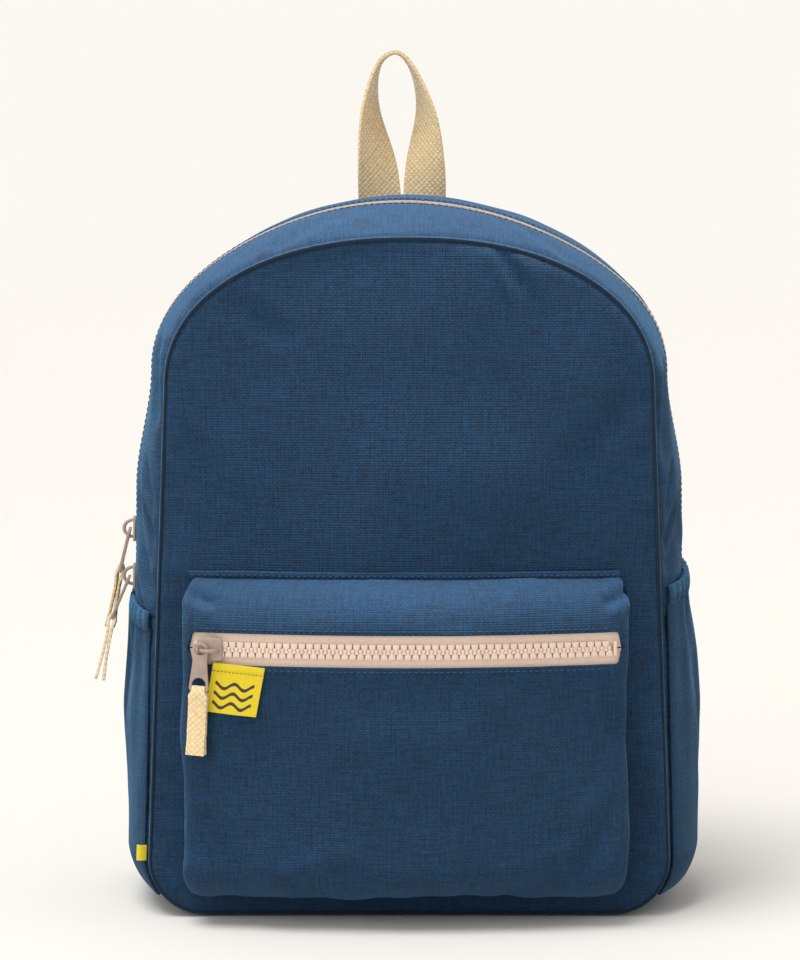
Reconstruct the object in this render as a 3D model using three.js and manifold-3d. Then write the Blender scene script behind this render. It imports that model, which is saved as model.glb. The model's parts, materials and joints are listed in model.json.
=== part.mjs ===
// A school backpack in canvas: two D-shaped panels joined by a gusset, a two-way main zip over the top,
// a zipped front pocket, two bottle pockets, a webbing grab handle and two shoulder straps.
// Millimetres, +Z up, the front faces -Y, and the origin is the centre of the flat base.
import * as THREE from "three";
import Module from "manifold-3d";
import { mergeVertices } from "three/addons/utils/BufferGeometryUtils.js";

// Driving dimensions of the bag body
const DEPTH = 110; // front seam to back seam
const FRONT_HEIGHT = 349;
const BACK_HEIGHT = 362;
const HALF_WIDTH_TOP = 124; // where the arch springs from the sides
const HALF_WIDTH_BASE = 135;
const ARCH_HEIGHT = 76;
const ARCH_POWER = 2.5;
const BASE_RADIUS = 28;
const GUSSET_BULGE = 16.5;
const TOP_BULGE = 12;
const FRONT_DOME = 11;
const CLOTH = 2; // canvas and its lining
const GAP = 0.4; // clearance between separate layers

// Main zip
const ZIP_SHIFT = -4; // the zip runs this far from the middle of the depth
const ZIP_END_Z = 158; // height of both ends of the zip
const ZIP_OPENING = 4.6; // half the distance between the canvas edges
const TAPE_REACH = 12;
const TAPE = 0.7;
const CHAIN_HALF = 3.8;
const CHAIN_SPLIT = 0.7; // half of the gap that the slider's wedge runs in
const CHAIN = 2.2;
const UPPER_SLIDER_Z = 194;
const LOWER_SLIDER_Z = 169;

// Sliders and pulls
const SLIDER_LENGTH = 12;
const SLIDER_WIDTH = 10.5;
const SLIDER_PLATE = 1.2;
const BRIDGE_HALF = 5.2;
const BRIDGE_HEIGHT = 7.2;
const BRIDGE_BAR = 1.6;
const BRIDGE_WIDTH = 1.6;
const PULL_THICK = 1.4;
const PULL_LENGTH = 21;
const PULL_EYE = 2.5;
const PULL_RIM = 1.7;
const PULL_SLOT = 5.4;
const PULL_LEAN = 22; // degrees that the lower hanging side pull stands off the bag
const UPPER_LEAN = 14; // the same for the upper one, which has no pocket under it
const PULL_SPLAY = 17; // degrees that the two side pulls spread apart
const LOOP_WIDTH = 10;
const LOOP_LENGTH = 33;
const LOOP_THICK = 3;

// Front pocket
const POCKET_HALF = 113.5;
const POCKET_BOTTOM = 14;
const POCKET_TOP = 176;
const POCKET_DEPTH = 42; // forward of the front seam, at the middle
const POCKET_ARC = 450; // plan radius of the pocket's face and of its zip
const POCKET_CORNER = 5;
const POCKET_ZIP_Z = 144;
const POCKET_ZIP_HALF = 107.2;
const ZIP_STOP = 3;
const POCKET_STOP = 1.2;
const POCKET_ROUND_LOW = 20;
const POCKET_ROUND_TOP = 26;
const POCKET_SLIDER_X = -99.6;
const LABEL_WIDTH = 26;
const LABEL_HEIGHT = 25;
const LABEL_X = -85;
const LABEL_TOP = 136.5;

// Bottle pockets
const BOTTLE_BOTTOM = 9;
const BOTTLE_TOP = 151;
const BOTTLE_BELLY = 11;
const BOTTLE_MOUTH = 5.6;
const BOTTLE_HEM = 10;
const BOTTLE_INSET = 5.5; // from the seams of the gusset
const BOTTLE_LIFT = 0.9; // clear of the gusset where it is sewn on

// Straps and handle
const WEBBING = 23;
const WEBBING_THICK = 2.1;
const HANDLE_X = -3.5;
const HANDLE_BEHIND_SEAM = 6;
const HANDLE_RISE = 82;
const STRAP_WIDTH = 56;
const STRAP_FOAM = 6;
const STRAP_GAP = 1.2; // between the layers of a strap, which bend over its top
const STRAP_WEBBING = 25;

const SEAM = DEPTH / 2;
const HALF_CLOTH = CLOTH / 2;
const FLOOR_LINE = HALF_CLOTH; // mid surface of the canvas that lies on the floor
const ZIP_AT = (SEAM + ZIP_SHIFT) / DEPTH;
const DEG = Math.PI / 180;
const V = (x, y, z) => new THREE.Vector3(x, y, z);
const mix = THREE.MathUtils.lerp;
const clamp = THREE.MathUtils.clamp;

const wasm = await Module();
wasm.setup();

const bag = new THREE.Group();

const FINISHES = {
  canvas: [0x2a4d6e, 0.95, 0],
  canvasLight: [0x6392b7, 0.95, 0],
  lining: [0x2d3a48, 0.9, 0],
  foam: [0x55585c, 0.95, 0],
  binding: [0x1e3448, 0.9, 0],
  zipTape: [0xe0c6b4, 0.9, 0],
  zipTeeth: [0xe6cfba, 0.5, 0],
  hardware: [0xe2cbb4, 0.45, 0.1],
  webbing: [0xd2b48f, 0.95, 0],
  yellow: [0xf1d92e, 0.8, 0],
  plastic: [0x24405c, 0.5, 0],
};

// Adds one sub-part to the bag, or to the group that carries it.
function addPart(name, geometry, finish, parent = bag) {
  const [color, roughness, metalness] = FINISHES[finish];
  const material = new THREE.MeshStandardMaterial({ color, roughness, metalness });
  const mesh = new THREE.Mesh(geometry, material);
  mesh.name = name;
  parent.add(mesh);
  return mesh;
}

// ---- Solids from surfaces

// Signed volume of an indexed geometry, to see which way its faces point.
function signedVolume(geometry) {
  const p = geometry.getAttribute("position");
  const index = geometry.index.array;
  const [a, b, c] = [V(0, 0, 0), V(0, 0, 0), V(0, 0, 0)];
  let sum = 0;
  for (let i = 0; i < index.length; i += 3) {
    a.fromBufferAttribute(p, index[i]);
    b.fromBufferAttribute(p, index[i + 1]);
    c.fromBufferAttribute(p, index[i + 2]);
    sum += a.dot(b.cross(c)) / 6;
  }
  return sum;
}

// Moves every point of a unit solid through a map, and keeps the faces pointing out.
function mapped(geometry, map) {
  const p = geometry.getAttribute("position");
  for (let i = 0; i < p.count; i += 1) {
    const q = map(p.getX(i), p.getY(i), p.getZ(i));
    p.setXYZ(i, q.x, q.y, q.z);
  }
  if (signedVolume(geometry) < 0) {
    const index = geometry.index.array;
    for (let i = 0; i < index.length; i += 3) {
      [index[i + 1], index[i + 2]] = [index[i + 2], index[i + 1]];
    }
  }
  geometry.deleteAttribute("normal");
  geometry.deleteAttribute("uv");
  return mergeVertices(geometry, 1e-4);
}

// A sheet of cloth: point(u, v, w) with u and v over the sheet and w through its thickness, all 0 to 1.
function sheet(alongSteps, acrossSteps, point) {
  const box = new THREE.BoxGeometry(1, 1, 1, alongSteps, acrossSteps, 1);
  return mapped(box, (x, y, z) => point(x + 0.5, y + 0.5, z + 0.5));
}

// A closed strip, such as a binding: point(turn, side) with both angles in radians.
function ring(steps, sides, point) {
  const torus = new THREE.TorusGeometry(2, 1, sides, steps);
  return mapped(torus, (x, y, z) => {
    const turn = Math.atan2(y, x);
    const side = Math.atan2(z, Math.hypot(x, y) - 2);
    return point(turn, side);
  });
}

// ---- Outline of the bag

// Half outline in four stretches: 0 to 1 arch, to 2 side, to 3 base corner, to 4 base.
function halfOutline(stretch, height) {
  const spring = height - ARCH_HEIGHT;
  const lean = (HALF_WIDTH_BASE - HALF_WIDTH_TOP) / spring;
  const cornerTop = BASE_RADIUS + FLOOR_LINE;
  const sideX = (z) => HALF_WIDTH_BASE - lean * z;
  if (stretch <= 1) {
    const angle = (stretch * Math.PI) / 2;
    const power = 2 / ARCH_POWER;
    const x = HALF_WIDTH_TOP * Math.sin(angle) ** power;
    const rise = stretch === 1 ? 0 : ARCH_HEIGHT * Math.cos(angle) ** power;
    return V(x, 0, spring + rise);
  }
  if (stretch <= 2) {
    const z = mix(spring, cornerTop, stretch - 1);
    return V(sideX(z), 0, z);
  }
  const cornerX = sideX(cornerTop) - BASE_RADIUS;
  if (stretch <= 3) {
    const angle = (stretch - 2) * (Math.PI / 2);
    return V(cornerX + BASE_RADIUS * Math.cos(angle), 0, cornerTop - BASE_RADIUS * Math.sin(angle));
  }
  return V(cornerX * (4 - stretch), 0, FLOOR_LINE);
}

const STRETCH_LENGTHS = [168, FRONT_HEIGHT - ARCH_HEIGHT - BASE_RADIUS, BASE_RADIUS * 1.57, 106];
const HALF_LENGTH = STRETCH_LENGTHS.reduce((sum, length) => sum + length, 0);

// Turns a distance from the top centre into a stretch value.
function stretchAt(distance) {
  let rest = distance;
  for (let i = 0; i < 4; i += 1) {
    if (rest <= STRETCH_LENGTHS[i] || i === 3) return i + Math.min(rest / STRETCH_LENGTHS[i], 1);
    rest -= STRETCH_LENGTHS[i];
  }
  return 4;
}

// Point of the seam-to-seam surface and its outward direction in the XZ plane.
function outline(distance, depthShare) {
  const stretch = stretchAt(Math.abs(distance));
  const side = Math.sign(distance) || 1;
  const at = (s) => {
    const front = halfOutline(s, FRONT_HEIGHT);
    return front.lerp(halfOutline(s, BACK_HEIGHT), depthShare);
  };
  const point = at(stretch);
  const before = at(Math.max(stretch - 0.004, 0));
  const after = at(Math.min(stretch + 0.004, 4));
  const tangent = after.sub(before).normalize();
  const normal = V(-tangent.z, 0, tangent.x);
  if (stretch < 0.004) normal.set(0, 0, 1);
  if (stretch > 3.99) normal.set(0, 0, -1);
  point.x *= side;
  normal.x *= side;
  return { point, normal, stretch };
}

// How far the gusset stands out between its seams.
function bulge(stretch) {
  if (stretch <= 1) return mix(TOP_BULGE, GUSSET_BULGE, stretch ** 2);
  const fall = (stretch - 1) / 1;
  if (fall <= 0.5) return GUSSET_BULGE - 6.4 * fall;
  if (fall <= 1) return 13.3 - 8.8 * (0.5 - 0.5 * Math.cos((fall - 0.5) * 2 * Math.PI));
  if (stretch <= 3) return 4.5 * (3 - stretch) ** 2;
  return 0;
}

function gussetPoint(distance, depthShare, offset) {
  const { point, normal, stretch } = outline(distance, depthShare);
  const fullness = 1 - Math.abs(2 * depthShare - 1) ** 2.6;
  const out = bulge(stretch) * fullness + offset;
  return point.addScaledVector(normal, out).setY(-SEAM + DEPTH * depthShare);
}

// Distance from the top centre to a height on the straight side.
function sideDistance(height) {
  const spring = mix(FRONT_HEIGHT, BACK_HEIGHT, ZIP_AT) - ARCH_HEIGHT;
  const share = (spring - height) / (spring - BASE_RADIUS - FLOOR_LINE);
  return STRETCH_LENGTHS[0] + share * STRETCH_LENGTHS[1];
}

// Depth share of a distance across the zip.
const acrossZip = (across) => ZIP_AT + across / DEPTH;

// A strip of the gusset between two distances, two depth shares and two offsets.
function gussetStrip(steps, acrossSteps, along, depth, offsets) {
  return sheet(steps, acrossSteps, (u, v, w) =>
    gussetPoint(mix(along[0], along[1], u), mix(depth[0], depth[1], v), mix(offsets[0], offsets[1], w)));
}

const ZIP_END = sideDistance(ZIP_END_Z);
const EDGE = GAP / DEPTH; // keeps the gusset off the two panels

// ---- Body panels

function dome(x, z) {
  const sideways = 1 - Math.min(Math.abs(x) / 130, 1) ** 2.4;
  const upright = 1 - Math.min(Math.abs(z - 175) / 176, 1) ** 2.4;
  return FRONT_DOME * sideways * upright;
}

// A D-shaped plate, built as nested rings from its centre: faceY(x, z, w) is its face at thickness w.
function panel(inset, depthShare, rings, faceY) {
  const centreZ = 175;
  const rows = 2 * rings + 1;
  const sphere = new THREE.SphereGeometry(1, 44, rows);
  return mapped(sphere, (x, y, z) => {
    const row = Math.round((Math.acos(clamp(y, -1, 1)) / Math.PI) * rows);
    const outer = row <= rings;
    const reach = outer ? row / rings : (rows - row) / rings;
    const turn = reach < 1e-6 ? 0 : Math.atan2(z, x);
    const edge = outline((turn / Math.PI) * HALF_LENGTH, depthShare);
    const rim = edge.point.addScaledVector(edge.normal, -inset);
    const px = rim.x * reach;
    const pz = mix(centreZ, rim.z, reach);
    return V(px, faceY(px, pz, outer ? 1 : 0), pz);
  });
}

function bodyPanels() {
  const front = panel(-HALF_CLOTH, 0, 5, (x, z, w) => -SEAM - dome(x, z) - CLOTH * w);
  addPart("front_panel", front, "canvas");
  const back = panel(-HALF_CLOTH, 1, 2, (x, z, w) => SEAM + CLOTH * w);
  addPart("back_panel", back, "canvas");
  const foamFace = SEAM - GAP;
  const foam = panel(12, 1, 2, (x, z, w) => foamFace - 5 * w);
  addPart("back_foam", foam, "foam");
  const lining = panel(12, 1, 2, (x, z, w) => foamFace - 5 - GAP - w);
  addPart("back_lining", lining, "lining");
}

function gussets() {
  const frontEdge = acrossZip(-ZIP_OPENING);
  const rearEdge = acrossZip(ZIP_OPENING);
  const thickness = [-HALF_CLOTH, HALF_CLOTH];
  const over = [-ZIP_END, ZIP_END];
  addPart("gusset_top_front", gussetStrip(44, 4, over, [EDGE, frontEdge], thickness), "canvasLight");
  addPart("gusset_top_rear", gussetStrip(44, 4, over, [rearEdge, 1 - EDGE], thickness), "canvasLight");
  const start = ZIP_END + GAP;
  const under = 2 * (HALF_LENGTH - start);
  const lower = sheet(44, 8, (u, v, w) => {
    const travelled = start + under * u;
    const distance = travelled <= HALF_LENGTH ? travelled : travelled - 2 * HALF_LENGTH;
    return gussetPoint(distance, mix(EDGE, 1 - EDGE, v), mix(-HALF_CLOTH, HALF_CLOTH, w));
  });
  addPart("gusset_lower", lower, "canvas");
}

function seamBindings() {
  for (const [name, share, inward] of [["seam_binding_front", 0, 1], ["seam_binding_back", 1, -1]]) {
    const strip = ring(56, 4, (turn, side) => {
      const distance = (turn / Math.PI) * HALF_LENGTH;
      const corner = Math.round(side / (Math.PI / 2));
      const deep = corner === 0 || corner === 1 ? 2.2 : 9;
      const near = corner === 0 || corner === -1 ? 0.5 : 2.3;
      const { point, normal } = outline(distance, share);
      return point.addScaledVector(normal, -deep).setY((share - 0.5) * DEPTH + inward * near);
    });
    addPart(name, strip, "binding");
  }
}

// ---- Zips

const TAPE_OUT = -HALF_CLOTH - GAP;
const CHAIN_OUT = TAPE_OUT + GAP + CHAIN;
const TOP_PLATE = CHAIN_OUT + 0.3;
const LOW_PLATE = TAPE_OUT - TAPE - 0.4;
const BRIDGE_BASE = TOP_PLATE + SLIDER_PLATE;
const PIVOT_OUT = BRIDGE_BASE + 2.1;
const EYE_OFFSET = 3.9; // from the pull's turning point to the centre of its eye

function mainZip() {
  const over = [-ZIP_END + 2, ZIP_END - 2];
  const run = [-ZIP_END + 6, ZIP_END - 6];
  for (const [name, side] of [["front", -1], ["rear", 1]]) {
    const tapeDepth = [acrossZip(side * (CHAIN_SPLIT + 0.5)), acrossZip(side * TAPE_REACH)];
    addPart("main_zip_tape_" + name, gussetStrip(44, 1, over, tapeDepth, [TAPE_OUT - TAPE, TAPE_OUT]), "zipTape");
    const chainDepth = [acrossZip(side * CHAIN_SPLIT), acrossZip(side * CHAIN_HALF)];
    const chainOut = [CHAIN_OUT - CHAIN, CHAIN_OUT];
    addPart("main_zip_teeth_" + name, gussetStrip(44, 1, run, chainDepth, chainOut), "zipTeeth");
  }
  for (const [name, side] of [["left", -1], ["right", 1]]) {
    const ends = [side * (ZIP_END - 5.6), side * (ZIP_END - 1)];
    const depth = [acrossZip(-CHAIN_HALF), acrossZip(CHAIN_HALF)];
    const stop = gussetStrip(2, 1, ends, depth, [CHAIN_OUT - CHAIN, CHAIN_OUT]);
    addPart("main_zip_stop_" + name, stop, "hardware");
  }
}

function solidOf(geometry) {
  const bare = geometry.clone();
  bare.deleteAttribute("normal");
  bare.deleteAttribute("uv");
  const merged = mergeVertices(bare, 1e-4);
  const vertProperties = merged.getAttribute("position").array;
  const triVerts = new Uint32Array(merged.index.array);
  return new wasm.Manifold(new wasm.Mesh({ numProp: 3, vertProperties, triVerts }));
}

function geometryOf(solid) {
  const { vertProperties, triVerts } = solid.getMesh();
  const geometry = new THREE.BufferGeometry();
  geometry.setAttribute("position", new THREE.BufferAttribute(vertProperties, 3));
  geometry.setIndex(new THREE.BufferAttribute(triVerts, 1));
  return geometry;
}

// A plate with its outline in XY and its thickness from z = from to z = to.
function plate(shape, from, to, curveSegments = 8) {
  const flat = new THREE.ExtrudeGeometry(shape, { depth: to - from, bevelEnabled: false, curveSegments });
  return flat.translate(0, 0, from);
}

// Slider body: X along the zip, Y across it, Z out of the bag.
function sliderBody() {
  const half = SLIDER_LENGTH / 2;
  const wide = SLIDER_WIDTH / 2;
  const outlineShape = new THREE.Shape([
    new THREE.Vector2(-half, -wide * 0.7), new THREE.Vector2(-half * 0.6, -wide * 0.85),
    new THREE.Vector2(half * 0.5, -wide), new THREE.Vector2(half, -wide * 0.6),
    new THREE.Vector2(half, wide * 0.6), new THREE.Vector2(half * 0.5, wide),
    new THREE.Vector2(-half * 0.6, wide * 0.85), new THREE.Vector2(-half, wide * 0.7),
  ]);
  const top = solidOf(plate(outlineShape, TOP_PLATE, TOP_PLATE + SLIDER_PLATE));
  const low = solidOf(plate(outlineShape, LOW_PLATE - SLIDER_PLATE * 0.7, LOW_PLATE));
  const wedgeHeight = TOP_PLATE - LOW_PLATE + 0.4;
  const wedge = new THREE.BoxGeometry(4, (CHAIN_SPLIT - 0.35) * 2, wedgeHeight);
  wedge.translate(half - 3, 0, (TOP_PLATE + LOW_PLATE) / 2);
  const hoop = new THREE.Shape();
  hoop.moveTo(-BRIDGE_HALF, -0.3);
  hoop.absellipse(0, 0, BRIDGE_HALF, BRIDGE_HEIGHT, Math.PI, 0, true);
  hoop.lineTo(BRIDGE_HALF, -0.3);
  hoop.lineTo(BRIDGE_HALF - BRIDGE_BAR, -0.3);
  hoop.absellipse(0, 0, BRIDGE_HALF - BRIDGE_BAR, BRIDGE_HEIGHT - BRIDGE_BAR, 0, Math.PI, false);
  hoop.lineTo(-BRIDGE_HALF + BRIDGE_BAR, -0.3);
  const bridge = plate(hoop, -BRIDGE_WIDTH / 2, BRIDGE_WIDTH / 2, 12);
  bridge.rotateX(Math.PI / 2);
  bridge.translate(0, 0, BRIDGE_BASE);
  const solid = top.add(solidOf(bridge)).add(solidOf(wedge)).add(low);
  return geometryOf(solid);
}

// Pull: its eye's centre at the origin, its length towards -Y, its thickness along Z.
function pullTab() {
  const rim = PULL_EYE + PULL_RIM;
  const end = -PULL_LENGTH;
  const shape = new THREE.Shape();
  shape.moveTo(-rim, 0);
  shape.absarc(0, 0, rim, Math.PI, 0, true);
  shape.lineTo(2.6, -7);
  shape.lineTo(4, end + 6);
  shape.lineTo(4.4, end + 1);
  shape.lineTo(3.4, end);
  shape.lineTo(-3.4, end);
  shape.lineTo(-4.4, end + 1);
  shape.lineTo(-4, end + 6);
  shape.lineTo(-2.6, -7);
  const eye = new THREE.Path();
  eye.absarc(0, 0, PULL_EYE, 0, 2 * Math.PI, false);
  const slot = new THREE.Path();
  slot.moveTo(-PULL_SLOT / 2, end + 1.5);
  slot.lineTo(PULL_SLOT / 2, end + 1.5);
  slot.lineTo(PULL_SLOT / 2, end + 5);
  slot.lineTo(-PULL_SLOT / 2, end + 5);
  shape.holes.push(eye, slot);
  return plate(shape, -PULL_THICK / 2, PULL_THICK / 2, 5);
}

// Folded webbing that hangs from the pull's lower bar: its turning axis is X through the origin.
function pullLoop() {
  const bar = 1.15; // clear of the bar on every side
  const inner = 0.75 + bar;
  const skin = 1;
  const side = new THREE.Shape();
  side.moveTo(inner + skin - 0.9, 0);
  side.absarc(0, 0, inner + skin - 0.9, 0, Math.PI, false);
  side.lineTo(-LOOP_THICK / 2, -8);
  side.lineTo(-LOOP_THICK / 2, -LOOP_LENGTH);
  side.lineTo(LOOP_THICK / 2, -LOOP_LENGTH);
  side.lineTo(LOOP_THICK / 2, -8);
  const eye = new THREE.Path();
  eye.absarc(0, 0, 1.1, 0, 2 * Math.PI, false);
  eye.closePath();
  side.holes.push(eye);
  const flat = new THREE.ExtrudeGeometry(side, { depth: 1, steps: 1, bevelEnabled: false, curveSegments: 6 });
  const positions = flat.getAttribute("position");
  for (let i = 0; i < positions.count; i += 1) {
    const down = -positions.getY(i);
    const half = down < 6 ? PULL_SLOT / 2 - 0.35 : LOOP_WIDTH / 2;
    const x = (positions.getZ(i) - 0.5) * 2 * half;
    positions.setXYZ(i, x, positions.getX(i), positions.getY(i));
  }
  return geometryOf(solidOf(flat));
}

function frameMatrix(origin, xAxis, yAxis, zAxis) {
  return new THREE.Matrix4().makeBasis(xAxis, yAxis, zAxis).setPosition(origin);
}

function place(mesh, matrix) {
  matrix.decompose(mesh.position, mesh.quaternion, mesh.scale);
}

// Frame of a slider on the left side of the main zip: X up the zip, Z out of the bag.
function sideFrame(height) {
  const at = (z) => gussetPoint(-sideDistance(z), ZIP_AT, 0);
  const origin = at(height);
  const up = at(height + 10).sub(at(height - 10)).normalize();
  const out = V(-up.z, 0, up.x);
  const across = out.clone().cross(up);
  return { origin, up, out, across };
}

function mainSlider(name, height, leanAngle, splay) {
  const { origin, up, out, across } = sideFrame(height);
  const body = frameMatrix(origin, up, across, out);
  place(addPart("main_slider_" + name, sliderBody(), "hardware"), body);
  // The pull leans out of the bag and spreads sideways from the other pull.
  const lean = leanAngle * DEG;
  const down = up.clone().multiplyScalar(-Math.cos(lean)).addScaledVector(out, Math.sin(lean));
  const face = down.clone().cross(V(0, 1, 0)).normalize();
  const length = down.clone().multiplyScalar(Math.cos(splay * DEG));
  length.y += Math.sin(splay * DEG);
  const pivot = origin.clone().addScaledVector(out, PIVOT_OUT);
  const eye = pivot.clone().addScaledVector(length, EYE_OFFSET);
  const sideways = length.clone().negate().cross(face);
  place(addPart("main_pull_" + name, pullTab(), "hardware"),
    frameMatrix(eye, sideways, length.clone().negate(), face));
  const bar = eye.clone().addScaledVector(length, PULL_LENGTH - 0.75);
  const hang = V(-Math.sin(12 * DEG), 0, -Math.cos(12 * DEG));
  hang.addScaledVector(sideways, -hang.dot(sideways)).normalize();
  const rise = hang.clone().negate();
  place(addPart("main_pull_loop_" + name, pullLoop(), "webbing"),
    frameMatrix(bar, sideways, rise.clone().cross(sideways), rise));
}

// ---- Front pocket

const PLAN_CENTRE = POCKET_ARC - POCKET_DEPTH; // behind the front seam
const CORNER_X = POCKET_HALF - POCKET_CORNER;
const CORNER_OUT = Math.sqrt((POCKET_ARC - POCKET_CORNER) ** 2 - CORNER_X ** 2) - PLAN_CENTRE;

// Plan of the pocket's wall: X sideways, Y forward of the front seam.
function pocketPlan() {
  const turn = Math.asin(CORNER_X / (POCKET_ARC - POCKET_CORNER));
  const plan = new THREE.Path();
  plan.moveTo(-POCKET_HALF, 0);
  plan.lineTo(-POCKET_HALF, CORNER_OUT);
  plan.absarc(-CORNER_X, CORNER_OUT, POCKET_CORNER, Math.PI, Math.PI / 2 + turn, true);
  plan.absarc(0, -PLAN_CENTRE, POCKET_ARC, Math.PI / 2 + turn, Math.PI / 2 - turn, true);
  plan.absarc(CORNER_X, CORNER_OUT, POCKET_CORNER, Math.PI / 2 - turn, 0, true);
  plan.lineTo(POCKET_HALF, 0);
  return plan;
}

const PLAN = pocketPlan();

// How far the pocket is blown up at a height, from 0 at its seams to 1.
function pocketFullness(z) {
  const low = clamp((z - POCKET_BOTTOM) / POCKET_ROUND_LOW, 0, 1);
  const top = clamp((POCKET_TOP - z) / POCKET_ROUND_TOP, 0, 1);
  const round = (share, power) => (1 - (1 - share) ** power) ** (1 / power);
  return round(low, 2.2) * round(top, 2);
}

function pocketPoint(u, z, offset) {
  const at = (share, height) => {
    const p = PLAN.getPointAt(clamp(share, 0, 1));
    const rim = dome(p.x, height) + CLOTH + 0.8;
    const out = rim + Math.max(p.y - rim, 0) * pocketFullness(height);
    return V(p.x, -SEAM - out, height);
  };
  const step = 0.004;
  const aside = at(u + step, z).sub(at(u - step, z));
  const low = clamp(z - 0.6, POCKET_BOTTOM, POCKET_TOP);
  const high = clamp(z + 0.6, POCKET_BOTTOM, POCKET_TOP);
  const upward = at(u, high).sub(at(u, low));
  const normal = aside.cross(upward).normalize();
  return at(u, z).addScaledVector(normal, offset);
}

const PLAN_SHARE = (x) => {
  let [low, high] = [0, 1];
  for (let i = 0; i < 40; i += 1) {
    const middle = (low + high) / 2;
    if (PLAN.getPointAt(middle).x < x) low = middle;
    else high = middle;
  }
  return (low + high) / 2;
};

function pocketStrip(steps, acrossSteps, across, heights, offsets, ease = (v) => v) {
  return sheet(steps, acrossSteps, (u, v, w) =>
    pocketPoint(mix(across[0], across[1], u), mix(heights[0], heights[1], ease(v)), mix(offsets[0], offsets[1], w)));
}

function frontPocket() {
  const thickness = [-HALF_CLOTH, HALF_CLOTH];
  const lowEdge = POCKET_ZIP_Z - ZIP_OPENING;
  const highEdge = POCKET_ZIP_Z + ZIP_OPENING;
  const lower = pocketStrip(34, 10, [0, 1], [POCKET_BOTTOM, lowEdge], thickness, (v) => v ** 1.7);
  addPart("pocket_lower", lower, "canvas");
  const upper = pocketStrip(34, 6, [0, 1], [highEdge, POCKET_TOP], thickness, (v) => 1 - (1 - v) ** 1.7);
  addPart("pocket_upper", upper, "canvas");
  const zipStart = PLAN_SHARE(-POCKET_ZIP_HALF);
  const zipEnd = PLAN_SHARE(POCKET_ZIP_HALF);
  const tape = [zipStart, zipEnd];
  const chain = [PLAN_SHARE(-POCKET_ZIP_HALF + 4), PLAN_SHARE(POCKET_ZIP_HALF - 4)];
  for (const [name, side] of [["lower", -1], ["upper", 1]]) {
    const reach = [POCKET_ZIP_Z + side * (CHAIN_SPLIT + 0.5), POCKET_ZIP_Z + side * 9];
    addPart("pocket_zip_tape_" + name, pocketStrip(22, 1, tape, reach, [TAPE_OUT - TAPE, TAPE_OUT]), "zipTape");
    const teeth = [POCKET_ZIP_Z + side * CHAIN_SPLIT, POCKET_ZIP_Z + side * CHAIN_HALF];
    const depth = [CHAIN_OUT - CHAIN, CHAIN_OUT];
    addPart("pocket_zip_teeth_" + name, pocketStrip(22, 1, chain, teeth, depth), "zipTeeth");
  }
  for (const [name, side] of [["left", -1], ["right", 1]]) {
    const ends = [PLAN_SHARE(side * (POCKET_ZIP_HALF - POCKET_STOP)), PLAN_SHARE(side * POCKET_ZIP_HALF)];
    const heights = [POCKET_ZIP_Z - CHAIN_HALF, POCKET_ZIP_Z + CHAIN_HALF];
    const stop = pocketStrip(1, 1, ends, heights, [CHAIN_OUT - CHAIN, CHAIN_OUT]);
    addPart("pocket_zip_stop_" + name, stop, "hardware");
  }
}

function pocketSlider() {
  const turn = Math.asin(POCKET_SLIDER_X / POCKET_ARC);
  const out = V(Math.sin(turn), -Math.cos(turn), 0);
  const along = V(-Math.cos(turn), -Math.sin(turn), 0); // towards the left end
  const across = out.clone().cross(along);
  const origin = V(0, PLAN_CENTRE - SEAM, POCKET_ZIP_Z).addScaledVector(out, POCKET_ARC);
  place(addPart("pocket_slider", sliderBody(), "hardware"), frameMatrix(origin, along, across, out));
  // The pull hangs from the bridge's left foot, flat to the pocket.
  const eye = origin.clone().addScaledVector(along, 3.85).addScaledVector(out, BRIDGE_BASE + 3.1);
  const swing = 3 * DEG;
  const length = V(0, 0, -Math.cos(swing)).addScaledVector(along, Math.sin(swing));
  const sideways = length.clone().negate().cross(out);
  place(addPart("pocket_pull", pullTab(), "hardware"),
    frameMatrix(eye, sideways, length.clone().negate(), out));
  const bar = eye.clone().addScaledVector(length, PULL_LENGTH - 0.75);
  place(addPart("pocket_pull_loop", pullLoop(), "webbing"),
    frameMatrix(bar, sideways, out.clone().negate(), length.clone().negate()));
}

function labels() {
  const across = [PLAN_SHARE(LABEL_X - LABEL_WIDTH / 2), PLAN_SHARE(LABEL_X + LABEL_WIDTH / 2)];
  const heights = [LABEL_TOP - LABEL_HEIGHT, LABEL_TOP];
  const lift = HALF_CLOTH + 0.5;
  addPart("woven_label", pocketStrip(4, 3, across, heights, [lift, lift + 0.8]), "yellow");
  const tag = sheet(1, 1, (u, v, w) => {
    const point = gussetPoint(-sideDistance(mix(28, 36, v)), 0.028, HALF_CLOTH + GAP + 8 * u);
    return point.setY(point.y + 1.2 * (w - 0.5));
  });
  addPart("side_tag", tag, "yellow");
}

// ---- Bottle pockets

function bottleLift(u, height) {
  const rise = clamp((height - BOTTLE_BOTTOM) / 26, 0, 1);
  const round = (1 - (1 - rise) ** 2.4) ** (1 / 2.4);
  const upper = clamp((height - 60) / (BOTTLE_TOP - 60), 0, 1);
  const belly = mix(BOTTLE_BELLY, BOTTLE_MOUTH, upper * upper * (3 - 2 * upper));
  const fullness = 1 - Math.abs(2 * u - 1) ** 2.8;
  return HALF_CLOTH + BOTTLE_LIFT + belly * round * fullness;
}

function bottleStrip(side, steps, heights, thickness) {
  const inset = BOTTLE_INSET / DEPTH;
  return sheet(14, steps, (u, v, w) => {
    const height = mix(heights[0], heights[1], v);
    const offset = bottleLift(u, height) + thickness * w;
    return gussetPoint(side * sideDistance(height), mix(inset, 1 - inset, u), offset);
  });
}

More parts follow.
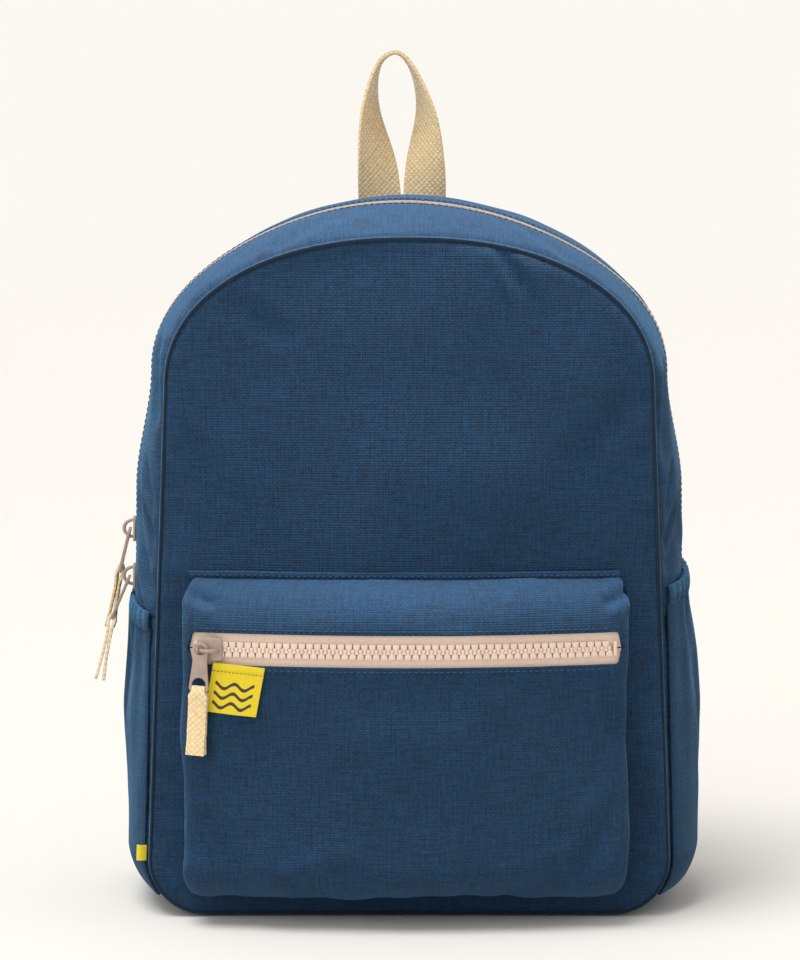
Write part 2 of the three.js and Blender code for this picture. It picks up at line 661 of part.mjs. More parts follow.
function bottlePockets() {
  for (const [name, side] of [["left", -1], ["right", 1]]) {
    const hemFoot = BOTTLE_TOP - BOTTLE_HEM;
    const heights = [BOTTLE_BOTTOM, hemFoot - GAP];
    addPart("bottle_pocket_" + name, bottleStrip(side, 10, heights, 1.6), "canvas");
    addPart("bottle_hem_" + name, bottleStrip(side, 2, [hemFoot, BOTTLE_TOP], 2), "canvas");
  }
}

// ---- Webbing and straps

// A ribbon along a curve: its width direction at a share of the curve is given, its thickness is normal to both.
function ribbon(steps, widthSteps, curve, widthAt, halfWidth, low, high, range = [0, 1]) {
  return sheet(steps, widthSteps, (u, v, w) => {
    const share = mix(range[0], range[1], u);
    const tangent = curve.getTangentAt(share);
    const wide = widthAt(share);
    wide.addScaledVector(tangent, -wide.dot(tangent)).normalize();
    const normal = wide.clone().cross(tangent);
    return curve.getPointAt(share)
      .addScaledVector(wide, mix(-1, 1, v) * halfWidth(share))
      .addScaledVector(normal, mix(low, high, w));
  });
}

function grabHandle() {
  const base = BACK_HEIGHT + 1;
  const apart = WEBBING / 2 + 0.4;
  const handleY = SEAM + HANDLE_BEHIND_SEAM;
  const rise = (share) => base + HANDLE_RISE * share;
  const path = new THREE.CatmullRomCurve3([
    V(HANDLE_X - apart, handleY, base), V(HANDLE_X - apart - 1.5, handleY, rise(0.25)),
    V(HANDLE_X - apart - 5, handleY + 2, rise(0.62)), V(HANDLE_X - apart - 1, handleY + 4, rise(0.9)),
    V(HANDLE_X - 3, handleY + 5, rise(0.985)), V(HANDLE_X + 6, handleY + 5, rise(0.87)),
    V(HANDLE_X + apart + 0.5, handleY + 3, rise(0.6)), V(HANDLE_X + apart + 0.5, handleY, rise(0.25)),
    V(HANDLE_X + apart, handleY, base),
  ]);
  const widthAt = (share) => {
    const twist = Math.sin(Math.PI * share) ** 1.2 * 88 * DEG;
    const sign = share < 0.5 ? 1 : -1;
    return V(sign * Math.cos(twist), Math.sin(twist), 0);
  };
  const band = ribbon(36, 2, path, widthAt, () => WEBBING / 2, -WEBBING_THICK / 2, WEBBING_THICK / 2);
  addPart("grab_handle", band, "webbing");
}

// Both curves are those of the left strap; the right one is its mirror image.
const behind = (x, distance, z) => V(x, SEAM + distance, z);
const STRAP_PAD = new THREE.CatmullRomCurve3([
  behind(-35, 15, 326), behind(-37, 24, 343), behind(-42, 41, 336), behind(-49, 52, 302),
  behind(-58, 54, 255), behind(-68, 50, 208), behind(-76, 42, 168),
]);
const STRAP_TAIL = new THREE.CatmullRomCurve3([
  behind(-81, 35.5, 140), behind(-87, 28, 118), behind(-98, 16, 78), behind(-106.5, 7.5, 47),
]);
const STRAP_ACROSS = V(-1, 0, 0.16);

// Puts a piece made for the left side on the side that is asked for.
function onSide(geometry, side) {
  return side < 0 ? geometry : mapped(mergeVertices(geometry), (x, y, z) => V(-x, y, z));
}

function shoulderStrap(name, side) {
  const wide = () => STRAP_ACROSS.clone();
  const padWidth = (share) => {
    const taper = clamp((share - 0.78) / 0.22, 0, 1);
    return mix(STRAP_WIDTH, STRAP_WEBBING + 10, taper * taper) / 2;
  };
  const narrower = (share) => padWidth(share) - 1.5;
  const half = () => STRAP_WEBBING / 2;
  const foamHalf = STRAP_FOAM / 2;
  const skin = 1.4;
  const face = foamHalf + STRAP_GAP;
  const band = face + skin + STRAP_GAP;
  const layer = (part, finish, curve, width, low, high, from = 0) => {
    const piece = ribbon(28, 2, curve, wide, width, -high, -low, [from, 1]);
    addPart(part + "_" + name, onSide(piece, side), finish);
  };
  layer("strap_face", "canvas", STRAP_PAD, padWidth, face, face + skin);
  layer("strap_foam", "foam", STRAP_PAD, narrower, -foamHalf, foamHalf);
  layer("strap_lining", "lining", STRAP_PAD, padWidth, -face - skin, -face);
  layer("strap_webbing", "webbing", STRAP_PAD, half, band, band + 1.4, 0.42);
  layer("strap_tail", "webbing", STRAP_TAIL, half, -0.7, 0.7);
  ladderLock(name, side);
}

// A plastic ladder lock between the pad's webbing and the tail.
function ladderLock(name, side) {
  const from = STRAP_PAD.getPointAt(1);
  const to = STRAP_TAIL.getPointAt(0);
  const down = to.clone().sub(from).normalize();
  const across = STRAP_ACROSS.clone();
  across.addScaledVector(down, -across.dot(down)).normalize();
  const face = across.clone().cross(down);
  const halfWide = STRAP_WEBBING / 2 + 4.5;
  const halfLong = from.distanceTo(to) / 2 - 1.2;
  const shape = new THREE.Shape();
  shape.moveTo(-halfWide, -halfLong);
  shape.lineTo(halfWide, -halfLong);
  shape.lineTo(halfWide, halfLong);
  shape.lineTo(-halfWide, halfLong);
  const slotHalf = STRAP_WEBBING / 2 + 0.8;
  for (const [low, high] of [[-halfLong + 3.2, -2.4], [2.4, halfLong - 3.2]]) {
    const slot = new THREE.Path();
    slot.moveTo(-slotHalf, low);
    slot.lineTo(slotHalf, low);
    slot.lineTo(slotHalf, high);
    slot.lineTo(-slotHalf, high);
    shape.holes.push(slot);
  }
  const middle = from.clone().add(to).multiplyScalar(0.5);
  const lock = plate(shape, -2, 2).applyMatrix4(frameMatrix(middle, across, down, face));
  addPart("ladder_lock_" + name, onSide(lock, side), "plastic");
}

function strapFixings() {
  const backFace = SEAM + CLOTH + GAP;
  const patch = new THREE.BoxGeometry(150, 1.6, 34, 10, 1, 2);
  patch.translate(0, backFace + 0.8, 330);
  addPart("strap_yoke", patch, "canvas");
  for (const [name, side] of [["left", -1], ["right", 1]]) {
    const shape = new THREE.Shape();
    shape.moveTo(-127, 24);
    shape.lineTo(-92, 24);
    shape.lineTo(-92, 36);
    shape.lineTo(-119, 58);
    shape.lineTo(-127, 58);
    const tab = plate(shape, 0, 1.6);
    tab.rotateX(Math.PI / 2);
    tab.translate(0, backFace + 1.6, 0);
    addPart("strap_anchor_" + name, onSide(tab, side), "canvas");
  }
}

bodyPanels();
gussets();
seamBindings();
mainZip();
mainSlider("upper", UPPER_SLIDER_Z, UPPER_LEAN, PULL_SPLAY);
mainSlider("lower", LOWER_SLIDER_Z, PULL_LEAN, -PULL_SPLAY);
frontPocket();
pocketSlider();
labels();
bottlePockets();
grabHandle();
shoulderStrap("left", -1);
shoulderStrap("right", 1);
strapFixings();

export default bag;
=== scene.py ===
"""A canvas school backpack: the looks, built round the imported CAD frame."""
import json
import math

import bpy
import numpy as np
from mathutils import Matrix, Vector

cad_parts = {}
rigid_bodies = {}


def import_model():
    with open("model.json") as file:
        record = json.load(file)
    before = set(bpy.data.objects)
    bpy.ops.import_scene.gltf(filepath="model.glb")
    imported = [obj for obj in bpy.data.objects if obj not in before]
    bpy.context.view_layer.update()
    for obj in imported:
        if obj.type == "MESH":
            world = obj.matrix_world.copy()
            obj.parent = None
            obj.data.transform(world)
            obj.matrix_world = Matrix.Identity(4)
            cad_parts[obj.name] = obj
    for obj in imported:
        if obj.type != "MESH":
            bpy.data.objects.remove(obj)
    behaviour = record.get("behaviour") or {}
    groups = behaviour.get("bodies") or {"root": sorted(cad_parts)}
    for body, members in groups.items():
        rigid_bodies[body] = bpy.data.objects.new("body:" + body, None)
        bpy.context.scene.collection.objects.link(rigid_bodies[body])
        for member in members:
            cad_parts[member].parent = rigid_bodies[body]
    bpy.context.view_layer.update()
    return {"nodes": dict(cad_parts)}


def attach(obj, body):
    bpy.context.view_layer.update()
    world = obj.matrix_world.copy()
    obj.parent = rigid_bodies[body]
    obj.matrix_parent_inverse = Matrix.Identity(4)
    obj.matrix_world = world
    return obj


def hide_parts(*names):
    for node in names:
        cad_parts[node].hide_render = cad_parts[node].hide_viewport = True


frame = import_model()
MM = 0.001

# ---- Driving sizes in millimetres, in the CAD model's frame
DEPTH, FRONT_HEIGHT, BACK_HEIGHT = 110, 349, 362
HALF_TOP, HALF_BASE, ARCH, BASE_RADIUS = 124, 135, 76, 28
GUSSET_BULGE, TOP_BULGE, FRONT_DOME, CLOTH = 16.5, 12, 11, 2
ZIP_SHIFT, ZIP_END_Z, ZIP_OPENING, TAPE_REACH = -4, 158, 4.6, 12
POCKET_HALF, POCKET_BOTTOM, POCKET_TOP, POCKET_DEPTH = 113.5, 14, 176, 42
POCKET_ARC, POCKET_CORNER, POCKET_ZIP_Z, POCKET_ZIP_HALF = 450, 5, 144, 107.2
POCKET_SLIDER_X = -99.6
POCKET_RIGHT = 0.966  # the pocket's right half, as a share of its left half
POCKET_ROUND_LOW, POCKET_ROUND_TOP = 20, 26
BOTTLE_BOTTOM, BOTTLE_HEM, BOTTLE_INSET, BOTTLE_LIFT = 9, 10, 2.6, 0.4
BOTTLE_TOPS = {-1: 160, 1: 174}
TOOTH_PITCH = 3.9
TAPE_THICKNESS, TAPE_DEPTH = 0.7, -1.35
HANDLE_HALF, HANDLE_THIN = 11.5, 1.05
STRAP_HALF, STRAP_THIN = 12.5, 0.75
PULL_LENGTH = 20.25
SIDES = (("left", -1), ("right", 1))
SEAM = DEPTH / 2
FLOOR_LINE = CLOTH / 2
ZIP_AT = (SEAM + ZIP_SHIFT) / DEPTH
# Distances round the outline from the top centre, at which the arch, the side, the corner and half the base end
SPANS = np.cumsum([0, 168, FRONT_HEIGHT - ARCH - BASE_RADIUS, BASE_RADIUS * 1.57, 106])
HALF_LENGTH = SPANS[-1]


def mix(a, b, t):
    return a + (b - a) * t


def smooth(t):
    """A soft step from 0 to 1."""
    t = np.clip(t, 0, 1)
    return t * t * (3 - 2 * t)


def vec(*parts):
    """Points from separate coordinates, which may be single numbers."""
    return np.stack(np.broadcast_arrays(*parts), axis=-1).astype(float)


def unit(v):
    return v / np.maximum(np.linalg.norm(v, axis=-1, keepdims=True), 1e-9)


def running_length(points):
    """Distance along a run of points, from its start to each of them."""
    return np.concatenate([[0], np.cumsum(np.linalg.norm(np.diff(points, axis=0), axis=1))])


def sample(at, run, table):
    """Rows of a table of points or directions, read at given distances along it."""
    return np.stack([np.interp(at, run, table[:, k]) for k in range(3)], axis=-1)


# ---- Irregularity of cloth: seeded noise and folds
def noise(u, v, size, seed):
    """Smooth value noise from -1 to 1 with features of about the given size."""
    table = np.random.default_rng(seed).uniform(-1, 1, (64, 64))
    x, y = np.asarray(u) / size + 17.3, np.asarray(v) / size + 31.7
    i, j = np.floor(x).astype(int), np.floor(y).astype(int)
    s, t = smooth(x - i), smooth(y - j)
    near = mix(table[i % 64, j % 64], table[(i + 1) % 64, j % 64], s)
    far = mix(table[i % 64, (j + 1) % 64], table[(i + 1) % 64, (j + 1) % 64], s)
    return mix(near, far, t)


def fold(u, v, start, end, width, depth):
    """A soft valley from start to end with a raised lip on each side, fading at both ends."""
    (ax, ay), (bx, by) = start, end
    length = math.hypot(bx - ax, by - ay)
    dx, dy = (bx - ax) / length, (by - ay) / length
    along = ((u - ax) * dx + (v - ay) * dy) / length
    off = (u - ax) * -dy + (v - ay) * dx
    fade = smooth((along + 0.15) / 0.35) * smooth((1.15 - along) / 0.35)
    valley = np.exp(-(off / width) ** 2)
    lips = np.exp(-((np.abs(off) - 1.9 * width) / width) ** 2)
    return depth * fade * (0.45 * lips - valley)


def puckers(along, away, pitch, height, reach, seed):
    """Small gathers that a line of stitches pulls into the cloth, fading away from it."""
    wander = noise(along, away * 0, pitch * 3, seed)
    waves = np.sin(2 * np.pi * along / pitch + 3 * wander) * (0.65 + 0.35 * wander)
    return height * waves * np.exp(-np.abs(away) / reach)


# ---- Outline of the bag
def half_outline(stretch, height):
    """One half of a panel's edge: stretch 0 to 1 is the arch, then the side, the corner and the base."""
    spring = height - ARCH
    lean = (HALF_BASE - HALF_TOP) / spring
    corner_top = BASE_RADIUS + FLOOR_LINE
    rounder = (height - FRONT_HEIGHT) / (BACK_HEIGHT - FRONT_HEIGHT)
    power = 2 / mix(2.2, 1.9, rounder)
    angle = np.clip(stretch, 0, 1) * np.pi / 2
    arch_x = HALF_TOP * np.sin(angle) ** power
    arch_z = spring + ARCH * np.abs(np.cos(angle)) ** power
    side_z = mix(spring, corner_top, np.clip(stretch - 1, 0, 1))
    side_x = HALF_BASE - lean * side_z
    centre = HALF_BASE - lean * corner_top - BASE_RADIUS
    turn = np.clip(stretch - 2, 0, 1) * np.pi / 2
    corner_x = centre + BASE_RADIUS * np.cos(turn)
    corner_z = corner_top - BASE_RADIUS * np.sin(turn)
    base_x = centre * (4 - np.clip(stretch, 3, 4))
    picks = [stretch <= 1, stretch <= 2, stretch <= 3]
    x = np.select(picks, [arch_x, side_x, corner_x], base_x)
    z = np.select(picks, [arch_z, side_z, corner_z], FLOOR_LINE + 0 * base_x)
    return x, z


def outline(distance, share):
    """Point and outward normal in XZ, at a distance round from the top centre, and the stretch value."""
    step = 0.03
    stretch = np.interp(np.abs(distance), SPANS, [0, 1, 2, 3, 4])
    side = np.where(np.asarray(distance) < 0, -1.0, 1.0)

    def at(s):
        fx, fz = half_outline(s, FRONT_HEIGHT)
        bx, bz = half_outline(s, BACK_HEIGHT)
        return mix(fx, bx, share), mix(fz, bz, share)

    x, z = at(stretch)
    x0, z0 = at(np.maximum(stretch - step, 0))
    x1, z1 = at(np.minimum(stretch + step, 4))
    tx, tz = x1 - x0, z1 - z0
    length = np.hypot(tx, tz)
    nx = -tz / length
    ease = np.clip(stretch / step, 0, 1) * np.clip((4 - stretch) / step, 0, 1)
    nx = nx * ease
    rise = np.sqrt(1 - np.minimum(nx * nx, 1))
    nz = np.where(stretch < 2, rise, -rise)
    return x * side, z, nx * side, nz, stretch


def bulge(stretch):
    """How far the gusset's middle stands out beyond the panels' edges."""
    along = np.clip(stretch, 0, 1)
    arch = mix(TOP_BULGE - 1, GUSSET_BULGE - 7.5, along) - 3 * np.sin(np.pi * along) ** 2
    fall = stretch - 1
    upper = GUSSET_BULGE - 6.4 * fall - 7.5 * (1 - smooth(fall / 0.24))
    lower = 13.3 - 8.8 * (0.5 - 0.5 * np.cos((fall - 0.5) * 2 * np.pi))
    corner = 4.5 * (3 - np.clip(stretch, 2, 3)) ** 2
    picks = [stretch <= 1, fall <= 0.5, fall <= 1, stretch <= 3]
    return np.select(picks, [arch, upper, lower, corner], 0.0)


ROLL_WIDTH, ROLL_DEPTH = 5.5, 4.8


def roll(edge):
    """How deep the cloth turns in beside a seam, at a distance from it."""
    t = np.clip(edge / ROLL_WIDTH, 0, 1)
    return ROLL_DEPTH * (1 - np.sqrt(1 - (1 - t) ** 2))


def gusset_point(distance, share, offset=0.0):
    """A point of the gusset: distance round the bag, share of its depth, offset outwards."""
    x, z, nx, nz, stretch = outline(distance, share)
    fullness = 1 - np.abs(2 * share - 1) ** 2.6
    out = bulge(stretch) * fullness + offset
    return vec(x + nx * out, -SEAM + DEPTH * share + 0 * x, z + nz * out)


def side_distance(height):
    """Distance round the bag at which its side reaches a height."""
    spring = mix(FRONT_HEIGHT, BACK_HEIGHT, ZIP_AT) - ARCH
    share = (spring - height) / (spring - BASE_RADIUS - FLOOR_LINE)
    return SPANS[1] + share * (SPANS[2] - SPANS[1])


PANEL_MIDDLE = 175.0


def dome(x, z):
    """How far the filled bag pushes its front panel out."""
    sideways = 1 - np.minimum(np.abs(x) / 130, 1) ** 2.4
    upright = 1 - np.minimum(np.abs(z - PANEL_MIDDLE) / (PANEL_MIDDLE + 1), 1) ** 2.4
    return FRONT_DOME * sideways * upright


ZIP_END = side_distance(ZIP_END_Z)


def zip_share(distance):
    """Where the main zip runs across the gusset; it lies a little further forward over the top right."""
    forward = smooth((distance + 60) / 130) * smooth((ZIP_END - distance) / 160)
    return ZIP_AT - 0.12 * forward


# ---- Mesh helpers
def clear_selection():
    if bpy.context.object and bpy.context.object.mode != "OBJECT":
        bpy.ops.object.mode_set(mode="OBJECT")
    bpy.ops.object.select_all(action="DESELECT")


def only(obj):
    clear_selection()
    obj.select_set(True)
    bpy.context.view_layer.objects.active = obj
    return obj


def apply_modifier(obj, kind, **settings):
    only(obj)
    modifier = obj.modifiers.new(kind.lower(), kind)
    for key, value in settings.items():
        setattr(modifier, key, value)
    bpy.ops.object.modifier_apply(modifier=modifier.name)


def finish_piece(obj, name, material, body, replaces=(), angle=40):
    """Names a piece, gives it its material and ties it to the frame."""
    only(obj)
    bpy.ops.object.transform_apply(location=True, rotation=True, scale=True)
    bpy.ops.object.shade_smooth_by_angle(angle=math.radians(angle))
    obj.name = name
    obj.data.name = name
    obj.data.materials.clear()
    obj.data.materials.append(material)
    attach(obj, body)
    if replaces:
        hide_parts(*replaces)
    return obj


def run_lengths(point, steps=240):
    """Real length along each direction of a surface, for a weave of even size."""
    t = np.linspace(0, 1, steps)
    half = np.full(steps, 0.5)
    return t, running_length(point(t, half)), running_length(point(half, t))


def cloth(name, steps, point, relief=None, thickness=CLOTH, outward=1, planar=False, edge=0.5):
    """A sheet of cloth: a grid laid on point(u, v), moved by relief(u, v, place), then thickened."""
    clear_selection()
    bpy.ops.mesh.primitive_grid_add(x_subdivisions=steps[0], y_subdivisions=steps[1], size=1)
    obj = bpy.context.object
    mesh = obj.data
    count = len(mesh.vertices)
    co = np.zeros(count * 3, np.float32)
    mesh.vertices.foreach_get("co", co)
    co = co.reshape(-1, 3).astype(float)
    u, v = co[:, 0] + 0.5, co[:, 1] + 0.5
    place = point(u, v)
    tiny = 1e-3
    du = point(np.minimum(u + tiny, 1), v) - point(np.maximum(u - tiny, 0), v)
    dv = point(u, np.minimum(v + tiny, 1)) - point(u, np.maximum(v - tiny, 0))
    normal = unit(np.cross(du, dv)) * outward
    if relief is not None:
        place = place + normal * relief(u, v, place)[:, None]
    mesh.vertices.foreach_set("co", (place * MM).astype(np.float32).ravel())
    t, along, across = run_lengths(point)
    uv = np.zeros((len(mesh.loops), 2), np.float32)
    index = np.zeros(len(mesh.loops), np.int32)
    mesh.loops.foreach_get("vertex_index", index)
    if planar:
        uv[:, 0], uv[:, 1] = place[index, 0] * MM, place[index, 2] * MM
    else:
        uv[:, 0] = np.interp(u[index], t, along) * MM
        uv[:, 1] = np.interp(v[index], t, across) * MM
    mesh.uv_layers[0].data.foreach_set("uv", uv.ravel())
    mesh.update()
    if outward < 0:
        mesh.flip_normals()
    apply_modifier(obj, "SOLIDIFY", thickness=thickness * MM, offset=-1)
    if edge:
        apply_modifier(obj, "BEVEL", width=edge * MM, segments=2, limit_method="ANGLE",
                       angle_limit=math.radians(60))
    obj.name = name
    return obj


def recalculate_normals(obj, merge=False):
    """Turns every face outwards, after joining doubled vertices where asked."""
    only(obj)
    bpy.ops.object.mode_set(mode="EDIT")
    bpy.ops.mesh.select_all(action="SELECT")
    if merge:
        bpy.ops.mesh.remove_doubles(threshold=0.01 * MM)
    bpy.ops.mesh.normals_make_consistent(inside=False)
    bpy.ops.object.mode_set(mode="OBJECT")


def mesh_object(name, verts, faces, uvs=None):
    mesh = bpy.data.meshes.new(name)
    mesh.from_pydata([tuple(p) for p in verts], [], [tuple(f) for f in faces])
    if uvs is not None:
        layer = mesh.uv_layers.new(name="UVMap")
        layer.data.foreach_set("uv", np.asarray(uvs, np.float32).ravel())
    mesh.update()
    obj = bpy.data.objects.new(name, mesh)
    bpy.context.scene.collection.objects.link(obj)
    return obj


def sweep(name, centre, wide, half_wide, half_thick, sides=20, power=5, relief=None):
    """A closed band with a rounded flat section, swept along points; wide is its width's direction."""
    centre = np.asarray(centre, float)
    rows = len(centre)
    tangent = unit(np.gradient(centre, axis=0))
    wide = np.broadcast_to(wide, centre.shape).astype(float)
    wide = unit(wide - tangent * np.sum(wide * tangent, axis=1, keepdims=True))
    normal = np.cross(wide, tangent)
    half_wide = np.broadcast_to(half_wide, rows)
    half_thick = np.broadcast_to(half_thick, rows)
    angle = np.arange(sides) * 2 * np.pi / sides
    cx = np.sign(np.cos(angle)) * np.abs(np.cos(angle)) ** (2 / power)
    cy = np.sign(np.sin(angle)) * np.abs(np.sin(angle)) ** (2 / power)
    verts = (centre[:, None] + wide[:, None] * (cx[None, :, None] * half_wide[:, None, None])
             + normal[:, None] * (cy[None, :, None] * half_thick[:, None, None]))
    run = running_length(centre)
    if relief is not None:
        raised = relief(run[:, None], cx[None] * half_wide[:, None], cy[None])
        verts = verts + normal[:, None] * raised[..., None]
    faces, uvs = [], []
    across = np.concatenate([cx, cx[:1]])
    for i in range(rows - 1):
        for j in range(sides):
            k = (j + 1) % sides
            faces.append((i * sides + j, i * sides + k, (i + 1) * sides + k, (i + 1) * sides + j))
            a, b = across[j] * half_wide[i] * MM, across[j + 1] * half_wide[i] * MM
            uvs += [(a, run[i] * MM), (b, run[i] * MM), (b, run[i + 1] * MM), (a, run[i + 1] * MM)]
    for end, order in ((0, -1), (rows - 1, 1)):
        ring = [end * sides + j for j in range(sides)][::order]
        faces.append(tuple(ring))
        uvs += [(across[j % sides] * half_wide[end] * MM, run[end] * MM) for j in ring]
    obj = mesh_object(name, verts.reshape(-1, 3) * MM, faces, uvs)
    recalculate_normals(obj)
    return obj


def smooth_path(points, count):
    """A Catmull-Rom curve through points, sampled evenly."""
    pts = np.asarray(points, float)
    pts = np.vstack([2 * pts[0] - pts[1], pts, 2 * pts[-1] - pts[-2]])
    rows = []
    for i in range(1, len(pts) - 2):
        t = np.linspace(0, 1, 24, endpoint=False)[:, None]
        a, b, c, d = pts[i - 1:i + 3]
        square, cube = 2 * a - 5 * b + 4 * c - d, 3 * b - a - 3 * c + d
        rows.append(0.5 * (2 * b + (c - a) * t + square * t * t + cube * t ** 3))
    dense = np.vstack(rows + [pts[-2:-1]])
    run = running_length(dense)
    return sample(np.linspace(0, run[-1], count), run, dense)


def stamp(name, pattern, places):
    """Copies a small pattern object to every frame (origin, x, y, z) and joins the copies into one mesh."""
    mesh = pattern.data
    co = np.array([v.co[:] for v in mesh.vertices])
    polys = [tuple(p.vertices) for p in mesh.polygons]
    verts, faces = [], []
    for origin, x, y, z in places:
        base = len(verts) * len(co)
        verts.append(np.asarray(origin) * MM + co @ np.stack([x, y, z]))
        faces += [tuple(base + k for k in p) for p in polys]
    bpy.data.objects.remove(pattern)
    return mesh_object(name, np.vstack(verts), faces)


# ---- Shader node helpers
class Net:
    """Adds nodes to a tree; an input is either a value or another node's socket."""

    def __init__(self, tree):
        self.tree = tree

    def node(self, kind, inputs=None, **settings):
        made = self.tree.nodes.new(kind)
        for key, value in settings.items():
            setattr(made, key, value)
        for key, value in (inputs or {}).items():
            if isinstance(value, bpy.types.NodeSocket):
                self.tree.links.new(value, made.inputs[key])
            else:
                made.inputs[key].default_value = value
        return made

    def math(self, operation, *values):
        return self.node("ShaderNodeMath", dict(enumerate(values)), operation=operation).outputs[0]

    def blend(self, amount, a, b, kind="MIX"):
        made = self.node("ShaderNodeMix", data_type="RGBA", blend_type=kind)
        for index, value in ((0, amount), (6, a), (7, b)):
            if isinstance(value, bpy.types.NodeSocket):
                self.tree.links.new(value, made.inputs[index])
            else:
                made.inputs[index].default_value = value
        return made.outputs[2]

    def noise(self, vector, scale, detail=3.0, roughness=0.5):
        made = self.node("ShaderNodeTexNoise", {"Vector": vector, "Scale": scale, "Detail": detail,
                                                "Roughness": roughness})
        return made.outputs["Fac"]

    def stretch(self, vector, x, y, z=1.0):
        return self.node("ShaderNodeMapping", {"Vector": vector, "Scale": (x, y, z)}).outputs[0]


def new_group(name, inputs, outputs):
    """An empty node group with its sockets, and the nodes that give and take their values."""
    group = bpy.data.node_groups.new(name, "ShaderNodeTree")
    for label, kind, value in inputs:
        socket = group.interface.new_socket(name=label, in_out="INPUT", socket_type=kind)
        if value is not None:
            socket.default_value = value
    for label, kind in outputs:
        group.interface.new_socket(name=label, in_out="OUTPUT", socket_type=kind)
    net = Net(group)
    return group, net, net.node("NodeGroupInput"), net.node("NodeGroupOutput")


def weave_group():
    """Plain weave: pillows where threads cross, and a checker of which thread is on top."""
    group, net, given, put = new_group(
        "plain_weave", [("Vector", "NodeSocketVector", None), ("Pitch", "NodeSocketFloat", 0.0009)],
        [("Height", "NodeSocketFloat"), ("Over", "NodeSocketFloat")])
    wobble = net.noise(given.outputs["Vector"], 900.0, 2.0)
    shift = net.math("MULTIPLY", net.math("SUBTRACT", wobble, 0.5), 0.00035)
    axes = net.node("ShaderNodeSeparateXYZ", {0: given.outputs["Vector"]})
    waves = []
    for label in ("X", "Y"):
        turn = net.math("DIVIDE", net.math("MULTIPLY", net.math("ADD", axes.outputs[label], shift), math.pi),
                        given.outputs["Pitch"])
        waves.append(net.math("SINE", turn))
    product = net.math("MULTIPLY", waves[0], waves[1])
    pillow = net.math("SQRT", net.math("ABSOLUTE", product))
    over = net.math("GREATER_THAN", product, 0.0)
    net.tree.links.new(pillow, put.inputs["Height"])
    net.tree.links.new(over, put.inputs["Over"])
    return group


def slub_group():
    """Threads of uneven thickness along and across the cloth, and broad uneven dyeing."""
    group, net, given, put = new_group(
        "slubs", [("Vector", "NodeSocketVector", None), ("Fineness", "NodeSocketFloat", 1.0)],
        [("Threads", "NodeSocketFloat"), ("Dye", "NodeSocketFloat")])
    vector = net.node("ShaderNodeVectorMath", {0: given.outputs["Vector"]}, operation="SCALE")
    net.tree.links.new(given.outputs["Fineness"], vector.inputs["Scale"])
    along = net.noise(net.stretch(vector.outputs[0], 90.0, 1100.0), 1.0, 2.0)
    across = net.noise(net.stretch(vector.outputs[0], 1100.0, 90.0), 1.0, 2.0)
    fleck = net.noise(vector.outputs[0], 700.0, 3.0, 0.7)
    threads = net.math("ADD", net.math("MULTIPLY", net.math("ADD", along, across), 0.3),
                       net.math("MULTIPLY", fleck, 0.4))
    dye = net.noise(given.outputs["Vector"], 14.0, 4.0, 0.6)
    net.tree.links.new(threads, put.inputs["Threads"])
    net.tree.links.new(dye, put.inputs["Dye"])
    return group


WEAVE = weave_group()
SLUBS = slub_group()


def new_material(name, roughness, **constants):
    """A material with its shader; each constant names one of the shader's sockets."""
    material = bpy.data.materials.new(name)
    material.use_nodes = True
    net = Net(material.node_tree)
    shader = material.node_tree.nodes["Principled BSDF"]
    shader.inputs["Roughness"].default_value = roughness
    for key, value in constants.items():
        shader.inputs[key.replace("_", " ")].default_value = value
    return material, net, shader


def coordinates(net, kind="UV"):
    return net.node("ShaderNodeTexCoord").outputs[kind]


def woven(name, dark, light, pitch, relief, fineness=1.0, roughness=0.92, sheen=0.7, contrast=1.0, dye=0.25,
          turn=0):
    """Cloth: thread colours mixed by weave and slubs, the weave's crowns painted lighter and its hollows darker
    as painted shade, uneven dye, and the weave as relief.
    """
    tint = (0.08 + 0.6 * light[0], 0.2 + 0.8 * light[1] ** 0.5, 0.3 + 1.1 * light[2] ** 0.5, 1)
    material, net, shader = new_material(name, roughness, Sheen_Weight=sheen, Sheen_Roughness=0.32,
                                         Sheen_Tint=tint)
    place = coordinates(net)
    if turn:
        turned = net.node("ShaderNodeMapping", {"Vector": place, "Rotation": (0, 0, math.radians(turn))})
        place = turned.outputs[0]
    weave = net.node("ShaderNodeGroup", node_tree=WEAVE)
    net.tree.links.new(place, weave.inputs["Vector"])
    weave.inputs["Pitch"].default_value = pitch
    slubs = net.node("ShaderNodeGroup", node_tree=SLUBS)
    net.tree.links.new(place, slubs.inputs["Vector"])
    slubs.inputs["Fineness"].default_value = fineness
    thread = net.node("ShaderNodeMapRange", {"Value": slubs.outputs["Threads"],
                                             "From Min": 0.41, "From Max": 0.59})
    # Painted shade: the weave's crowns are painted lighter and the hollows between threads darker
    lift = net.math("MULTIPLY", weave.outputs["Height"], 0.34)
    top = net.math("MULTIPLY", weave.outputs["Over"], 0.12)
    amount = net.math("MULTIPLY", net.math("ADD", net.math("ADD", lift, top),
                                           net.math("MULTIPLY", thread.outputs[0], 0.45)), contrast)
    tone = net.blend(amount, dark, light)
    cloud = net.node("ShaderNodeMapRange", {"Value": slubs.outputs["Dye"], "From Min": 0.3, "From Max": 0.7,
                                            "To Min": 1 - dye / 2, "To Max": 1 + dye / 2})
    grey = net.node("ShaderNodeCombineColor", {0: cloud.outputs[0], 1: cloud.outputs[0], 2: cloud.outputs[0]})
    colour = net.blend(1.0, tone, grey.outputs[0], "MULTIPLY")
    height = net.math("ADD", weave.outputs["Height"], net.math("MULTIPLY", slubs.outputs["Threads"], 0.8))
    bump = net.node("ShaderNodeBump", {"Height": height, "Distance": relief, "Strength": 0.75})
    net.tree.links.new(colour, shader.inputs["Base Color"])
    net.tree.links.new(bump.outputs[0], shader.inputs["Normal"])
    return material


